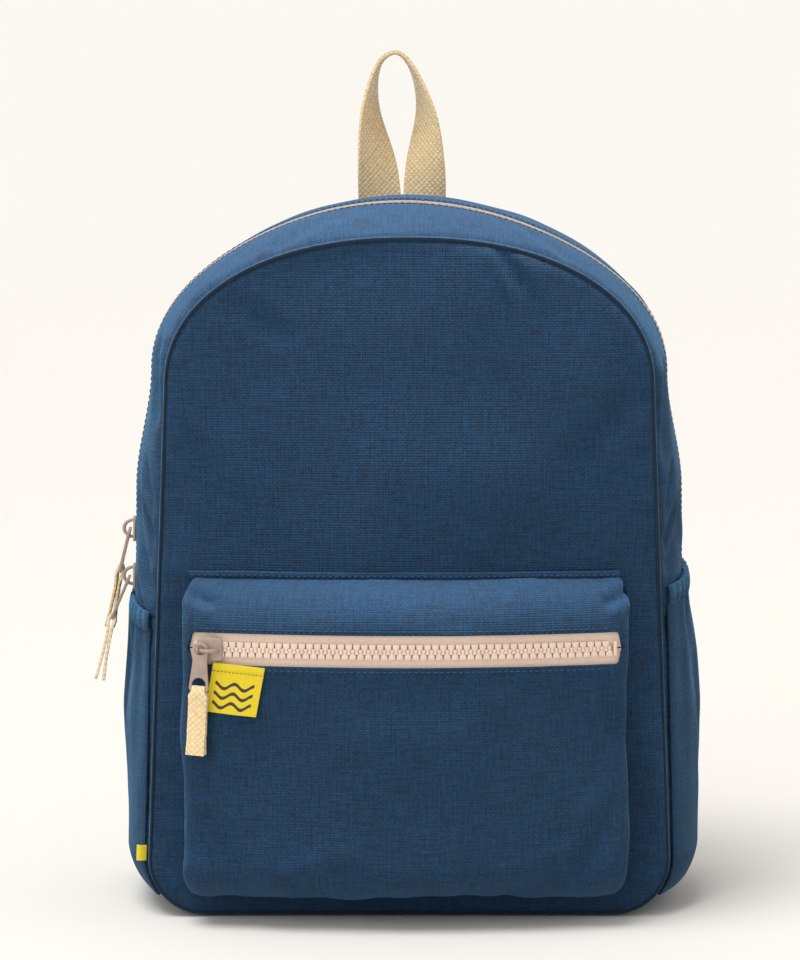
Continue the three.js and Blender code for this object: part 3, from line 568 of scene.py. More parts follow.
def moulded(name, colour, shade, roughness, metallic=0.0, coat=0.0, speckle=600.0):
    """Painted metal or plastic: small tone changes, faint dirt in patches, fine surface grain."""
    material, net, shader = new_material(name, roughness, Metallic=metallic, Coat_Weight=coat)
    place = coordinates(net, "Object")
    patches = net.noise(place, 160.0, 4.0, 0.6)
    ramp = net.node("ShaderNodeMapRange", {"Value": patches, "From Min": 0.35, "From Max": 0.7})
    net.tree.links.new(net.blend(ramp.outputs[0], colour, shade), shader.inputs["Base Color"])
    grain = net.noise(place, speckle * 10, 2.0)
    gloss = net.node("ShaderNodeMapRange", {"Value": patches, "To Min": roughness - 0.08,
                                            "To Max": roughness + 0.12})
    net.tree.links.new(gloss.outputs[0], shader.inputs["Roughness"])
    bump = net.node("ShaderNodeBump", {"Height": grain, "Distance": 0.00004, "Strength": 0.4})
    net.tree.links.new(bump.outputs[0], shader.inputs["Normal"])
    return material


LABEL_SIZE = (26.0, 25.0)
YELLOWS = (0.74, 0.54, 0.016, 1), (0.90, 0.72, 0.032, 1)
FINE_WEAVE = 0.00045, 0.00005


def label_material():
    """Yellow damask with three woven grey waves."""
    material = woven("label_yellow", *YELLOWS, *FINE_WEAVE, fineness=1.6, sheen=0.1, dye=0.08)
    net = Net(material.node_tree)
    shader = material.node_tree.nodes["Principled BSDF"]
    ground = shader.inputs["Base Color"].links[0].from_socket
    axes = net.node("ShaderNodeSeparateXYZ", {0: coordinates(net)})
    phase = net.math("MULTIPLY", axes.outputs["X"], 2 * math.pi / 0.0104)
    wave = net.math("MULTIPLY", net.math("SINE", phase), 0.0014)
    level = net.math("SUBTRACT", axes.outputs["Y"], wave)
    repeat = net.math("PINGPONG", net.math("SUBTRACT", level, 0.0042), 0.0025)
    line = net.math("LESS_THAN", repeat, 0.0009)
    low = net.math("GREATER_THAN", level, 0.0030)
    high = net.math("LESS_THAN", level, 0.0160)
    left = net.math("GREATER_THAN", axes.outputs["X"], 0.0030)
    right = net.math("LESS_THAN", axes.outputs["X"], 0.0232)
    mask = net.math("MULTIPLY", net.math("MULTIPLY", line, net.math("MULTIPLY", low, high)),
                    net.math("MULTIPLY", left, right))
    colour = net.blend(mask, ground, (0.055, 0.05, 0.045, 1))
    net.tree.links.new(colour, shader.inputs["Base Color"])
    return material


# Each cloth gives its dark and light tone, mixed by its uneven threads and by painted shade between the weave's
# crowns, then the pitch and the relief of its weave in metres
CANVAS_WEAVE = 0.0013, 0.0003
CANVAS = woven("navy_canvas", (0.0005, 0.0034, 0.010, 1), (0.0024, 0.064, 0.166, 1), *CANVAS_WEAVE,
               fineness=0.8, dye=0.14, contrast=0.9, sheen=0.25)
HEM_CANVAS = woven("hem_canvas", (0.0008, 0.0050, 0.015, 1), (0.006, 0.074, 0.180, 1), *CANVAS_WEAVE,
                   fineness=0.75, dye=0.12, sheen=0.4)
WEBBING = woven("natural_webbing", (0.80, 0.52, 0.25, 1), (1.0, 0.86, 0.55, 1), 0.0021, 0.0005,
                fineness=0.5, dye=0.1, turn=45)
TAPE = woven("zip_tape_beige", (0.72, 0.54, 0.43, 1), (0.95, 0.78, 0.66, 1), 0.0006, 0.00008,
             fineness=1.5, dye=0.08)
YELLOW = label_material()
TAG = woven("tag_yellow", *YELLOWS, *FINE_WEAVE, fineness=1.6, dye=0.08)
MESH = woven("spacer_mesh", (0.002, 0.005, 0.011, 1), (0.016, 0.036, 0.07, 1), 0.0026, 0.0009,
             fineness=0.4, dye=0.15)
BINDING = woven("binding_tape", (0.0015, 0.006, 0.015, 1), (0.007, 0.024, 0.052, 1), 0.0007, 0.0001,
                fineness=1.2)
LINING = woven("lining_cloth", (0.02, 0.035, 0.06, 1), (0.06, 0.09, 0.13, 1), 0.0006, 0.00008)
THREAD = moulded("sewing_thread", (0.020, 0.065, 0.14, 1), (0.035, 0.10, 0.21, 1), 0.8)
TEETH = moulded("moulded_teeth", (0.86, 0.67, 0.55, 1), (0.78, 0.60, 0.49, 1), 0.42)
METAL = moulded("beige_enamel", (0.44, 0.335, 0.275, 1), (0.36, 0.265, 0.215, 1), 0.36, coat=0.25)
PLASTIC = moulded("navy_plastic", (0.012, 0.035, 0.075, 1), (0.02, 0.05, 0.10, 1), 0.5)
FOAM = moulded("foam", (0.18, 0.19, 0.20, 1), (0.12, 0.13, 0.14, 1), 0.9)


# ---- Stitches
def stitch_pattern(length, radius):
    """One visible stitch: a short bead of thread along X."""
    clear_selection()
    bpy.ops.mesh.primitive_uv_sphere_add(segments=6, ring_count=4, radius=1)
    obj = bpy.context.object
    obj.data.transform(Matrix.Rotation(math.pi / 2, 4, "Y"))
    obj.data.transform(Matrix.Diagonal((length / 2 * MM, radius * MM, radius * MM, 1)))
    return obj


def stitches(name, path, lift, body, step=3.2, length=2.4, material=None, radius=0.3, normals=None):
    """A row of stitches along points on the cloth; its outward direction is lift, or a normal at each point."""
    path = np.asarray(path, float)
    run = running_length(path)
    count = int(run[-1] / step)
    at = (np.arange(count) + 0.5) * step
    centre = sample(at, run, path)
    x = unit(sample(at + 0.4, run, path) - sample(at - 0.4, run, path))
    if normals is None:
        up = np.broadcast_to(np.asarray(lift, float), centre.shape)
    else:
        up = sample(at, run, normals)
    z = unit(up - x * np.sum(up * x, axis=1, keepdims=True))
    y = np.cross(z, x)
    places = [(centre[i] + z[i] * radius * 0.35, x[i], y[i], z[i]) for i in range(count)]
    obj = stamp(name, stitch_pattern(length, radius), places)
    return finish_piece(obj, name, material or THREAD, body, angle=80)


# ---- Body
def panel_point(share, offset, depth_face):
    """Maps a square to the D of a panel: nested rings, whose turn follows the outline."""
    corners = np.array([0.0, 118.0, SPANS[2] + 26, HALF_LENGTH])

    def point(u, v):
        a, b = 2 * u - 1, 2 * v - 1
        reach = np.maximum(np.maximum(np.abs(a), np.abs(b)), 1e-6)
        pa, pb = np.abs(a) / reach, b / reach
        top, side = (pb >= 1 - 1e-9), (pa >= 1 - 1e-9) & (pb < 1 - 1e-9)
        lap = np.select([top, side], [pa, 1 + (1 - pb)], 3 + (1 - pa))
        distance = np.interp(lap, [0, 1, 3, 4], corners) * np.where(a < 0, -1, 1)
        x, z, nx, nz, _ = outline(distance, share)
        x, z = x + nx * offset, z + nz * offset
        px, pz = x * reach, mix(PANEL_MIDDLE, z, reach)
        edge = (1 - reach) * np.hypot(x, z - PANEL_MIDDLE)
        return vec(px, depth_face(px, pz, edge), pz)
    return point


def front_panel():
    def face(x, z, edge):
        return -SEAM - dome(x, z) - CLOTH - 1.5 + roll(edge)

    def relief(u, v, p):
        x, z = p[:, 0], p[:, 2]
        top = 349 - z
        waves = 1.5 * noise(x, z, 52, 3) + 0.6 * noise(x, z * 0.6, 22, 4)
        waves += fold(x, z, (44, 349), (58, 322), 4, 1.8) + fold(x, z, (-112, 250), (-96, 214), 6, 1.0)
        waves += fold(x, z, (112, 270), (88, 236), 7, 1.0) + fold(x, z, (-90, 318), (-62, 296), 6, 0.8)
        waves += puckers(x, top, 13, 0.35, 12, 8) * (z > 300)
        waves += puckers(z, 125 - np.abs(x), 15, 0.35, 9, 9) * (z < 300)
        reach = np.maximum(np.abs(2 * u - 1), np.abs(2 * v - 1))
        return waves * smooth((1 - reach) / 0.05)

    obj = cloth("front_face", (150, 170), panel_point(0.0, 1.0, face), relief, planar=True)
    finish_piece(obj, "front_face", CANVAS, "bag", ["front_panel"])


def back_panel():
    def face(x, z, edge):
        pad = 4.4 * smooth((edge - 9) / 13)
        ends = smooth((z - 40) / 20) * smooth((300 - z) / 20)
        for channel in (-38, 38):
            pad = pad * (1 - 0.72 * np.exp(-((x - channel) / 3.6) ** 2) * ends)
        pad = pad * (1 - 0.72 * np.exp(-((z - 306) / 3.6) ** 2))
        return SEAM + CLOTH - 1.0 + pad - roll(edge) * 0.8

    def relief(u, v, p):
        return 0.5 * noise(p[:, 0], p[:, 2], 38, 13) + 0.2 * noise(p[:, 0], p[:, 2], 15, 14)

    obj = cloth("back_face", (130, 150), panel_point(1.0, 1.0, face), relief, planar=True, outward=-1)
    finish_piece(obj, "back_face", CANVAS, "bag", ["back_panel"])


def seam_binding_and_shade_cords():
    """The dark cord that closes the seam between each panel and the gusset: it stands for the seam binding, and
    its darkness is painted shade in the seam's groove.
    """
    for name, share, inset, radius in (("front", 0.0, 0.7, 0.85), ("back", 1.0, 1.9, 1.4)):
        d = np.linspace(-HALF_LENGTH + 0.5, HALF_LENGTH - 0.5, 700)
        x, z, nx, nz, _ = outline(d, share)
        x, z = x - inset * nx, z - inset * nz
        y = SEAM + 0.6 + 0 * x if share else -SEAM - dome(x, z) - CLOTH - 0.7
        # A dark cord as the seam binding and as painted shade in the seam's groove
        cord = sweep(f"seam_binding_and_shade_cord_{name}", vec(x, y, z), (0, 1, 0), radius, radius, sides=8, power=2)
        finish_piece(cord, f"seam_binding_and_shade_cord_{name}", BINDING, "bag", [f"seam_binding_{name}"])


# Folds of the gusset: start, end, width and depth; a place is a distance round the bag and one from its front
GUSSET_FOLDS = (
    ((side_distance(216), 19), (side_distance(193), 1), 3.6, 2.0),
    ((side_distance(180), 19), (side_distance(158), 1), 3.6, 1.8),
    ((side_distance(236), 17), (side_distance(210), 5), 3.2, 1.4),
    ((150, 20), (196, 6), 5, 2.0),
    ((232, 34), (262, 4), 7, 1.6),
    ((205, 44), (246, 26), 5, 1.2),
    ((275, 30), (300, 2), 5, 1.6),
    ((40, 30), (66, 4), 6, 1.2),
    ((250, 100), (222, 80), 7, 1.4))


def gusset_relief(distance, share, seed):
    """Waves, gathers beside both seams, and folds, of which every second one is shifted on each side."""
    y = share * DEPTH
    waves = 0.9 * noise(distance, y, 44, seed) + 0.5 * noise(distance, y * 0.7, 19, seed + 1)
    waves += puckers(distance, y, 14, 0.5, 10, seed + 2) + puckers(distance, DEPTH - y, 14, 0.5, 10, seed + 3)
    for side in (-1, 1):
        for k, (start, end, width, depth) in enumerate(GUSSET_FOLDS):
            shift = 9 * side * (k % 2)
            waves += fold(distance * side, y, (start[0] + shift, start[1]), (end[0] + shift, end[1]),
                          width, depth)
    return waves


def gussets():
    """The two strips beside the main zip, the long lower piece round the base, and their stitching."""
    near, far = -ZIP_OPENING / DEPTH, ZIP_OPENING / DEPTH

    def strip(rear):
        def across(distance, v):
            if rear:
                return mix(zip_share(distance) + far, 1.0, v)
            return mix(0.0, zip_share(distance) + near, v)

        def point(u, v):
            distance = mix(-ZIP_END, ZIP_END, u)
            share = across(distance, v)
            edge = np.minimum(share, 1 - share) * DEPTH
            return gusset_point(distance, share, 1.0 - roll(edge))

        def relief(u, v, p):
            distance = mix(-ZIP_END, ZIP_END, u)
            share = across(distance, v)
            beside = np.abs(share - zip_share(distance)) * DEPTH
            calm = smooth(np.minimum(share, 1 - share) * DEPTH / 5 - 0.3) * smooth(beside / 14 - 0.25)
            return gusset_relief(distance, share, 21) * calm
        return point, relief

    for part, rear in (("front", False), ("rear", True)):
        point, relief = strip(rear)
        obj = cloth(f"gusset_{part}", (240, 24), point, relief)
        finish_piece(obj, f"gusset_{part}", CANVAS, "bag", [f"gusset_top_{part}"])

    start = ZIP_END - 1.5
    under = 2 * (HALF_LENGTH - start)

    def turn(u):
        travelled = start + under * u
        return np.where(travelled <= HALF_LENGTH, travelled, travelled - 2 * HALF_LENGTH)

    def under_point(u, v):
        edge = np.minimum(v, 1 - v) * DEPTH
        tuck = 1.2 * smooth(np.minimum(u, 1 - u) * -under / 5 + 1)
        return gusset_point(turn(u), v, 1.0 - roll(edge) - tuck)

    def under_relief(u, v, p):
        calm = smooth(np.minimum(v, 1 - v) * DEPTH / 8) * smooth((p[:, 2] - 2) / 20)
        return gusset_relief(turn(u), v, 31) * calm

    obj = cloth("gusset_base", (260, 40), under_point, under_relief)
    finish_piece(obj, "gusset_base", CANVAS, "bag", ["gusset_lower"])
    for name, side in SIDES:
        share = np.linspace(0.05, 0.95, 60)
        share = share[np.abs(share - ZIP_AT) * DEPTH > TAPE_REACH]
        for part, pick in (("front", share < ZIP_AT), ("rear", share > ZIP_AT)):
            d = np.full(pick.sum(), side * (ZIP_END - 3.5))
            row = gusset_point(d, share[pick], 1.1)
            stitches(f"join_stitch_{part}_{name}", row, (side, 0, 0), "bag")
    for part, beside in (("front", near - 2.2 / DEPTH), ("rear", far + 2.2 / DEPTH)):
        d = np.linspace(-ZIP_END + 6, ZIP_END - 6, 400)
        share = zip_share(d) + beside
        _, _, nx, nz, _ = outline(d, share)
        row = gusset_point(d, share, 1.05)
        stitches(f"zip_stitch_{part}", row, None, "bag", normals=vec(nx, 0 * nx, nz))


# ---- Zips
def tooth_pattern():
    """One moulded tooth seen from above: a block on the tape, shoulders, a neck and a rounded head."""
    half = [(1.62, 3.75), (1.62, 1.75), (0.62, 0.75), (0.62, 0.25), (1.12, -0.35), (1.1, -0.8), (0.55, -1.3)]
    shape = half + [(-x, y) for x, y in half[::-1]]
    obj = outline_solid("tooth", shape, [], 2.3, 0.22, 1)
    recalculate_normals(obj, merge=True)
    return obj


def zip_row(name, total, at, side, node, lift=0.15):
    """Teeth of one side of a zip, whose total length and at(s), a point and its directions, are given."""
    places = []
    count = round((total - 2) / TOOTH_PITCH)
    for k in range(count):
        s = 1 + (k + (0.25 if side > 0 else 0.75)) * (total - 2) / count
        origin, along, up = at(s)
        across = np.cross(up, along) * side
        x = along * (1 if side > 0 else -1)
        places.append((origin + up * lift, x, across, up))
    obj = stamp(name, tooth_pattern(), places)
    finish_piece(obj, name, TEETH, "bag", [node], angle=35)


def run_of(path, normals):
    """A path's length, and its point, its direction and its outward direction at a distance along it."""
    run = running_length(path)

    def at(s):
        along = unit(sample(s + 1, run, path) - sample(s - 1, run, path))
        up = sample(s, run, normals)
        up = unit(up - along * np.dot(up, along))
        return sample(s, run, path), along, up
    return run[-1], at


def main_zip():
    d = np.linspace(-ZIP_END + 5, ZIP_END - 5, 500)
    _, _, nx, nz, _ = outline(d, zip_share(d))
    total, at = run_of(gusset_point(d, zip_share(d), -0.1), vec(nx, 0 * nx, nz))
    parts = (("front", -1), ("rear", 1))
    for name, side in parts:
        zip_row(f"main_teeth_{name}", total, at, side, f"main_zip_teeth_{name}")
    for name, side in parts:
        def point(u, v, side=side):
            distance = mix(-ZIP_END + 1, ZIP_END - 1, u)
            share = zip_share(distance) + side * mix(0.3, TAPE_REACH, v) / DEPTH
            return gusset_point(distance, share, TAPE_DEPTH)
        obj = cloth(f"main_tape_{name}", (240, 6), point, thickness=TAPE_THICKNESS, outward=side, edge=0)
        finish_piece(obj, f"main_tape_{name}", TAPE, "bag", [f"main_zip_tape_{name}"])


# ---- Front pocket
PLAN_CENTRE = POCKET_ARC - POCKET_DEPTH
CORNER_X = POCKET_HALF - POCKET_CORNER
CORNER_OUT = math.sqrt((POCKET_ARC - POCKET_CORNER) ** 2 - CORNER_X ** 2) - PLAN_CENTRE


def pocket_plan():
    """Plan of the pocket's wall as points with their distance along it."""
    turn = math.asin(CORNER_X / (POCKET_ARC - POCKET_CORNER))
    wall = [(-POCKET_HALF, y) for y in np.linspace(0, CORNER_OUT, 30, endpoint=False)]
    a = np.linspace(math.pi, math.pi / 2 + turn, 30, endpoint=False)
    corner = list(zip(-CORNER_X + POCKET_CORNER * np.cos(a), CORNER_OUT + POCKET_CORNER * np.sin(a)))
    b = np.linspace(math.pi / 2 + turn, math.pi / 2, 120)
    face = list(zip(POCKET_ARC * np.cos(b), -PLAN_CENTRE + POCKET_ARC * np.sin(b)))
    left = np.array(wall + corner + face)
    right = left[::-1][1:] * np.array([-1, 1])
    plan = np.vstack([left, right])
    run = running_length(plan)
    return plan, run / run[-1], run[-1]


PLAN, PLAN_SHARE, PLAN_LENGTH = pocket_plan()


def plan_share(x):
    """Where an x lies along the pocket's wall, from 0 at its left end to 1 at its right."""
    return float(np.interp(x, PLAN[:, 0] + np.arange(len(PLAN)) * 1e-9, PLAN_SHARE))


def pocket_fullness(z):
    """How much of its depth the pocket has at a height: it rounds in at its top and bottom."""
    low = np.clip((z - POCKET_BOTTOM) / POCKET_ROUND_LOW, 0, 1)
    top = np.clip((POCKET_TOP - z) / POCKET_ROUND_TOP, 0, 1)
    return (1 - (1 - low) ** 2.2) ** (1 / 2.2) * (1 - (1 - top) ** 2) ** 0.5


def corner_inset(z):
    """How far the pocket's sides draw in near its top and bottom corners."""
    top = np.clip((z - (POCKET_TOP - 10)) / 10, 0, 1)
    low = np.clip((POCKET_BOTTOM + 17 - z) / 17, 0, 1)
    return 6.5 * (1 - np.sqrt(1 - top * top)) + 8 * (1 - np.sqrt(1 - low * low))


def pocket_place(u, z):
    x = np.interp(u, PLAN_SHARE, PLAN[:, 0])
    y = np.interp(u, PLAN_SHARE, PLAN[:, 1])
    x = x * np.where(x > 0, POCKET_RIGHT, 1.0) * (1 - corner_inset(z) / POCKET_HALF)
    rim = dome(x, z) + CLOTH + 1.6
    out = rim + np.maximum(y - rim, 0) * pocket_fullness(z)
    return vec(x, -SEAM - out, z)


def pocket_surface(u, z, offset=1.0):
    """A point of the pocket at a share of its wall and a height, moved outwards by offset."""
    tiny, low = 0.004, 0.6
    aside = pocket_place(np.minimum(u + tiny, 1), z) - pocket_place(np.maximum(u - tiny, 0), z)
    above, below = np.minimum(z + low, POCKET_TOP), np.maximum(z - low, POCKET_BOTTOM)
    rise = pocket_place(u, above) - pocket_place(u, below)
    return pocket_place(u, z) + unit(np.cross(aside, rise)) * np.expand_dims(offset, -1)


def zip_gap(u):
    """Half of the pocket's zip opening, closing beyond the ends of the zip."""
    x = np.interp(u, PLAN_SHARE, PLAN[:, 0])
    return 8.2 * smooth((POCKET_ZIP_HALF + 4.3 - np.abs(x)) / 3.0)


def pocket_relief(u, z, seed):
    x = np.interp(u, PLAN_SHARE, PLAN[:, 0])
    along = u * PLAN_LENGTH
    waves = 1.4 * noise(along, z, 44, seed) + 0.6 * noise(along, z, 19, seed + 1)
    waves += puckers(along, z - POCKET_BOTTOM, 26, 0.45, 12, seed + 2)
    waves += puckers(along, POCKET_TOP - z, 12, 0.35, 6, seed + 3)
    waves += fold(x, z, (-60, 22), (-20, 30), 6, 1.3) + fold(x, z, (52, 20), (96, 34), 6, 1.5)
    waves += fold(x, z, (100, 132), (108, 96), 4, 1.2) + fold(x, z, (-108, 130), (-102, 84), 5, 1.0)
    waves += fold(x, z, (-104, 60), (-84, 24), 6, 1.2) + fold(x, z, (108, 66), (90, 30), 6, 1.2)
    return waves


def front_pocket():
    def lower(u, v):
        top = POCKET_ZIP_Z - zip_gap(u)
        z = POCKET_BOTTOM + (top - POCKET_BOTTOM) * v ** 1.5
        return pocket_surface(u, z)

    def upper(u, v):
        low = POCKET_ZIP_Z + zip_gap(u)
        z = low + (POCKET_TOP - low) * (1 - (1 - v) ** 1.5)
        return pocket_surface(u, z)

    def lower_relief(u, v, p):
        calm = smooth((POCKET_ZIP_Z - 4 - p[:, 2]) / 16) * smooth(v / 0.04)
        return pocket_relief(u, p[:, 2], 41) * calm

    def upper_relief(u, v, p):
        calm = smooth((p[:, 2] - POCKET_ZIP_Z - 6) / 9) * smooth((1 - v) / 0.05)
        waves = 0.8 * pocket_relief(u, p[:, 2], 51)
        for side in (-1, 1):
            waves += 1.8 * fold(p[:, 0], p[:, 2], (side * 113, 172), (side * 98, 166), 3, 1)
        return waves * calm

    low = cloth("pocket_front", (220, 90), lower, lower_relief)
    finish_piece(low, "pocket_front", CANVAS, "bag", ["pocket_lower"])
    top = cloth("pocket_top", (220, 40), upper, upper_relief)
    finish_piece(top, "pocket_top", CANVAS, "bag", ["pocket_upper"])


def pocket_stop(name, at_u):
    """A moulded end stop across both rows of the pocket's teeth."""
    clear_selection()
    bpy.ops.mesh.primitive_cube_add(size=1)
    block = bpy.context.object
    block.data.transform(Matrix.Diagonal((1.7 * MM, 7.4 * MM, 2.2 * MM, 1)))
    apply_modifier(block, "BEVEL", width=0.4 * MM, segments=3)
    spot, height = np.array([at_u]), np.array([float(POCKET_ZIP_Z)])
    here = pocket_surface(spot, height, 0.0)[0]
    out = unit(pocket_surface(spot, height, 1.0)[0] - here)
    set_frame(block, here, np.cross((0, 0, 1), out), (0, 0, 1), -out)
    recalculate_normals(block, merge=True)
    finish_piece(block, f"pocket_stop_{name}", TEETH, "bag", [f"pocket_zip_stop_{name}"])


def pocket_zip():
    """The front pocket's teeth, end stops and tapes, and the stitching beside them."""
    start, end = plan_share(-POCKET_ZIP_HALF - 4.4), plan_share(POCKET_ZIP_HALF + 4.4)
    first, last = plan_share(-POCKET_ZIP_HALF + 1.4), plan_share(POCKET_ZIP_HALF - 1.4)
    u = np.linspace(first, last, 300)
    z = np.full(u.shape, float(POCKET_ZIP_Z))
    path = pocket_surface(u, z, -0.1)
    normals = unit(pocket_surface(u, z, 1) - pocket_surface(u, z, 0))
    total, at = run_of(path, normals)
    parts = (("lower", -1), ("upper", 1))
    for name, side in parts:
        zip_row(f"pocket_teeth_{name}", total, at, side, f"pocket_zip_teeth_{name}")
    for name, side in SIDES:
        pocket_stop(name, plan_share(side * (POCKET_ZIP_HALF - 0.2)))
    for name, side in parts:
        def point(a, v, side=side):
            height = POCKET_ZIP_Z + side * mix(0.3, 11.0, v)
            return pocket_surface(mix(start, end, a), height, TAPE_DEPTH + 0.6 * smooth(v * 3))
        obj = cloth(f"pocket_tape_{name}", (160, 8), point, thickness=TAPE_THICKNESS, outward=side, edge=0)
        finish_piece(obj, f"pocket_tape_{name}", TAPE, "bag", [f"pocket_zip_tape_{name}"])
        z_row = POCKET_ZIP_Z + side * (zip_gap(u) + 1.9)
        stitches(f"pocket_stitch_{name}", pocket_surface(u, z_row, 1.05), (0, -1, 0), "bag")


def pocket_seam():
    """The turned seam allowance that frames the top of the pocket, sewn flat to the front."""
    def row(inset, above, ahead, count):
        x = np.linspace(-POCKET_HALF + inset, POCKET_HALF * POCKET_RIGHT - inset - 2, count)
        z = POCKET_TOP + above + 0.3 * noise(x, x * 0, 25, 77)
        return vec(x, -SEAM - dome(x, z) - CLOTH - ahead, z)

    stitches("pocket_seam_stitch", row(2, 2.4, 3.2, 200), (0, -1, 0), "bag")
    obj = sweep("pocket_seam", row(1, 2.2, 2.2, 220), (0, 0, 1), 2.3, 1.0, sides=16, power=2.6)
    finish_piece(obj, "pocket_seam", CANVAS, "bag")


# ---- Bottle pockets
def bottle_lift(side, u, height):
    """How far a bottle pocket stands out from the gusset: it bellies low down and closes at its hem."""
    rise = np.clip((height - BOTTLE_BOTTOM) / 26, 0, 1)
    rounding = (1 - (1 - rise) ** 2.4) ** (1 / 2.4)
    upper = smooth((height - 60) / (BOTTLE_TOPS[side] - 60))
    belly = mix(7.0, 0.0, upper) if side < 0 else mix(11, 0.6, upper)
    return CLOTH / 2 + BOTTLE_LIFT + belly * rounding * (1 - np.abs(2 * u - 1) ** 2.8)


def bottle_surface(side, u, height, extra=0.0):
    inset = BOTTLE_INSET / DEPTH
    share = mix(inset, 1 - inset, u)
    height = np.asarray(height, float) + 0 * share
    edge = np.minimum(share, 1 - share) * DEPTH
    out = bottle_lift(side, u, height) + extra - roll(edge)
    return gusset_point(side * side_distance(height), share, out)


def bottle_pockets():
    for name, side in SIDES:
        lip = BOTTLE_TOPS[side]

        def body(u, v, side=side, lip=lip):
            height = mix(BOTTLE_BOTTOM, lip - BOTTLE_HEM + 1.0, v)
            return bottle_surface(side, u, height, 1.6)

        def body_relief(u, v, p, side=side):
            y, z = p[:, 1], p[:, 2]
            wander = 2 * noise(u * 90, v * 0, 20, 61)
            gather = v ** 2 * 1.9 * np.sin(u * 2 * np.pi * 7 + wander) * np.sin(np.pi * u)
            waves = 1.0 * noise(y, z, 40, 62 + side) + 0.4 * noise(y, z, 17, 64)
            waves += fold(y, z, (-22, 140), (-14, 70), 6, 1.5) + fold(y, z, (16, 138), (10, 88), 6, 1.2)
            return (waves + gather) * smooth(np.minimum(u, 1 - u) / 0.08) * smooth(v / 0.08)

        def hem(u, v, side=side, lip=lip):
            height = mix(lip - BOTTLE_HEM, lip, v)
            return bottle_surface(side, u, height, 2.2 + 0.6 * np.sin(np.pi * v))

        def hem_relief(u, v, p):
            wander = 4 * noise(u * 90, v * 0, 12, 67)
            return 0.7 * np.sin(u * 2 * np.pi * 15 + wander) * np.sin(np.pi * u) ** 0.5

        node = f"bottle_pocket_{name}"
        pocket = cloth(node + "_cloth", (60, 90), body, body_relief, thickness=1.6, outward=side)
        finish_piece(pocket, node + "_cloth", CANVAS, "bag", [node])
        node = f"bottle_hem_{name}"
        band = cloth(node + "_band", (80, 12), hem, hem_relief, thickness=2.2, outward=side)
        finish_piece(band, node + "_band", HEM_CANVAS, "bag", [node])
        u = np.linspace(0.03, 0.97, 80)
        row = bottle_surface(side, u, np.full(80, lip - BOTTLE_HEM + 1.7), 2.6)
        stitches(f"hem_stitch_{name}", row, (side, 0, 0), "bag")


# ---- Webbing, straps and handle
def grab_handle():
    """A twisted loop of webbing above its hinge line, and its two roots sewn into the back seam."""
    base, x, y, rise, apart = 362.5, -3.5, 60.5, 82.5, 11.9
    path = smooth_path([
        (x - apart, y, base), (x - apart - 1.5, y, base + 0.25 * rise),
        (x - apart - 5, y + 2, base + 0.62 * rise),
        (x - apart - 1, y + 4, base + 0.9 * rise), (x - 3, y + 5, base + 0.985 * rise),
        (x + 6, y + 5, base + 0.87 * rise), (x + apart + 0.5, y + 3, base + 0.6 * rise),
        (x + apart + 0.5, y, base + 0.25 * rise), (x + apart, y, base)], 90)
    share = np.linspace(0, 1, 90)
    twist = np.sin(np.pi * share) ** 1.2 * math.radians(88)
    sign = np.where(share < 0.5, 1.0, -1.0)
    wide = vec(sign * np.cos(twist), np.sin(twist), 0 * share)
    band = sweep("handle_webbing", path, wide, HANDLE_HALF, HANDLE_THIN, sides=24, power=7)
    finish_piece(band, "handle_webbing", WEBBING, "handle", ["grab_handle"])
    for side, end in (("left", x - apart), ("right", x + apart)):
        root = smooth_path([(end, 57.6, 346), (end, 58.6, 353), (end, y - 0.2, base + 0.6)], 20)
        stub = sweep(f"handle_root_{side}", root, (1, 0, 0), HANDLE_HALF, HANDLE_THIN, sides=24, power=7)
        finish_piece(stub, f"handle_root_{side}", WEBBING, "bag")


# The left strap's middle line: its pad from the yoke down, then the webbing below the ladder lock
PAD_POINTS = [(-35, 70, 323), (-37, 79, 337), (-42, 96, 331), (-49, 107, 302), (-58, 109, 255),
              (-68, 105, 208), (-76, 97, 168)]
TAIL_POINTS = [(-81, 90.5, 140), (-87, 83, 118), (-98, 71, 78), (-106.5, 62.5, 47)]
PAD_HALF_TOP, PAD_HALF_END = 28, 17.5


def mirror_x(points, side):
    return np.asarray(points, float) * np.array([-side, 1, 1])


def strap_width(side):
    """The direction of a strap's width, outwards and a little upwards."""
    return np.array([side, 0, 0.16])


def webbing_band(name, path, wide, body, replaces=()):
    band = sweep(name, path, wide, STRAP_HALF, STRAP_THIN, sides=20, power=7)
    finish_piece(band, name, WEBBING, body, replaces)


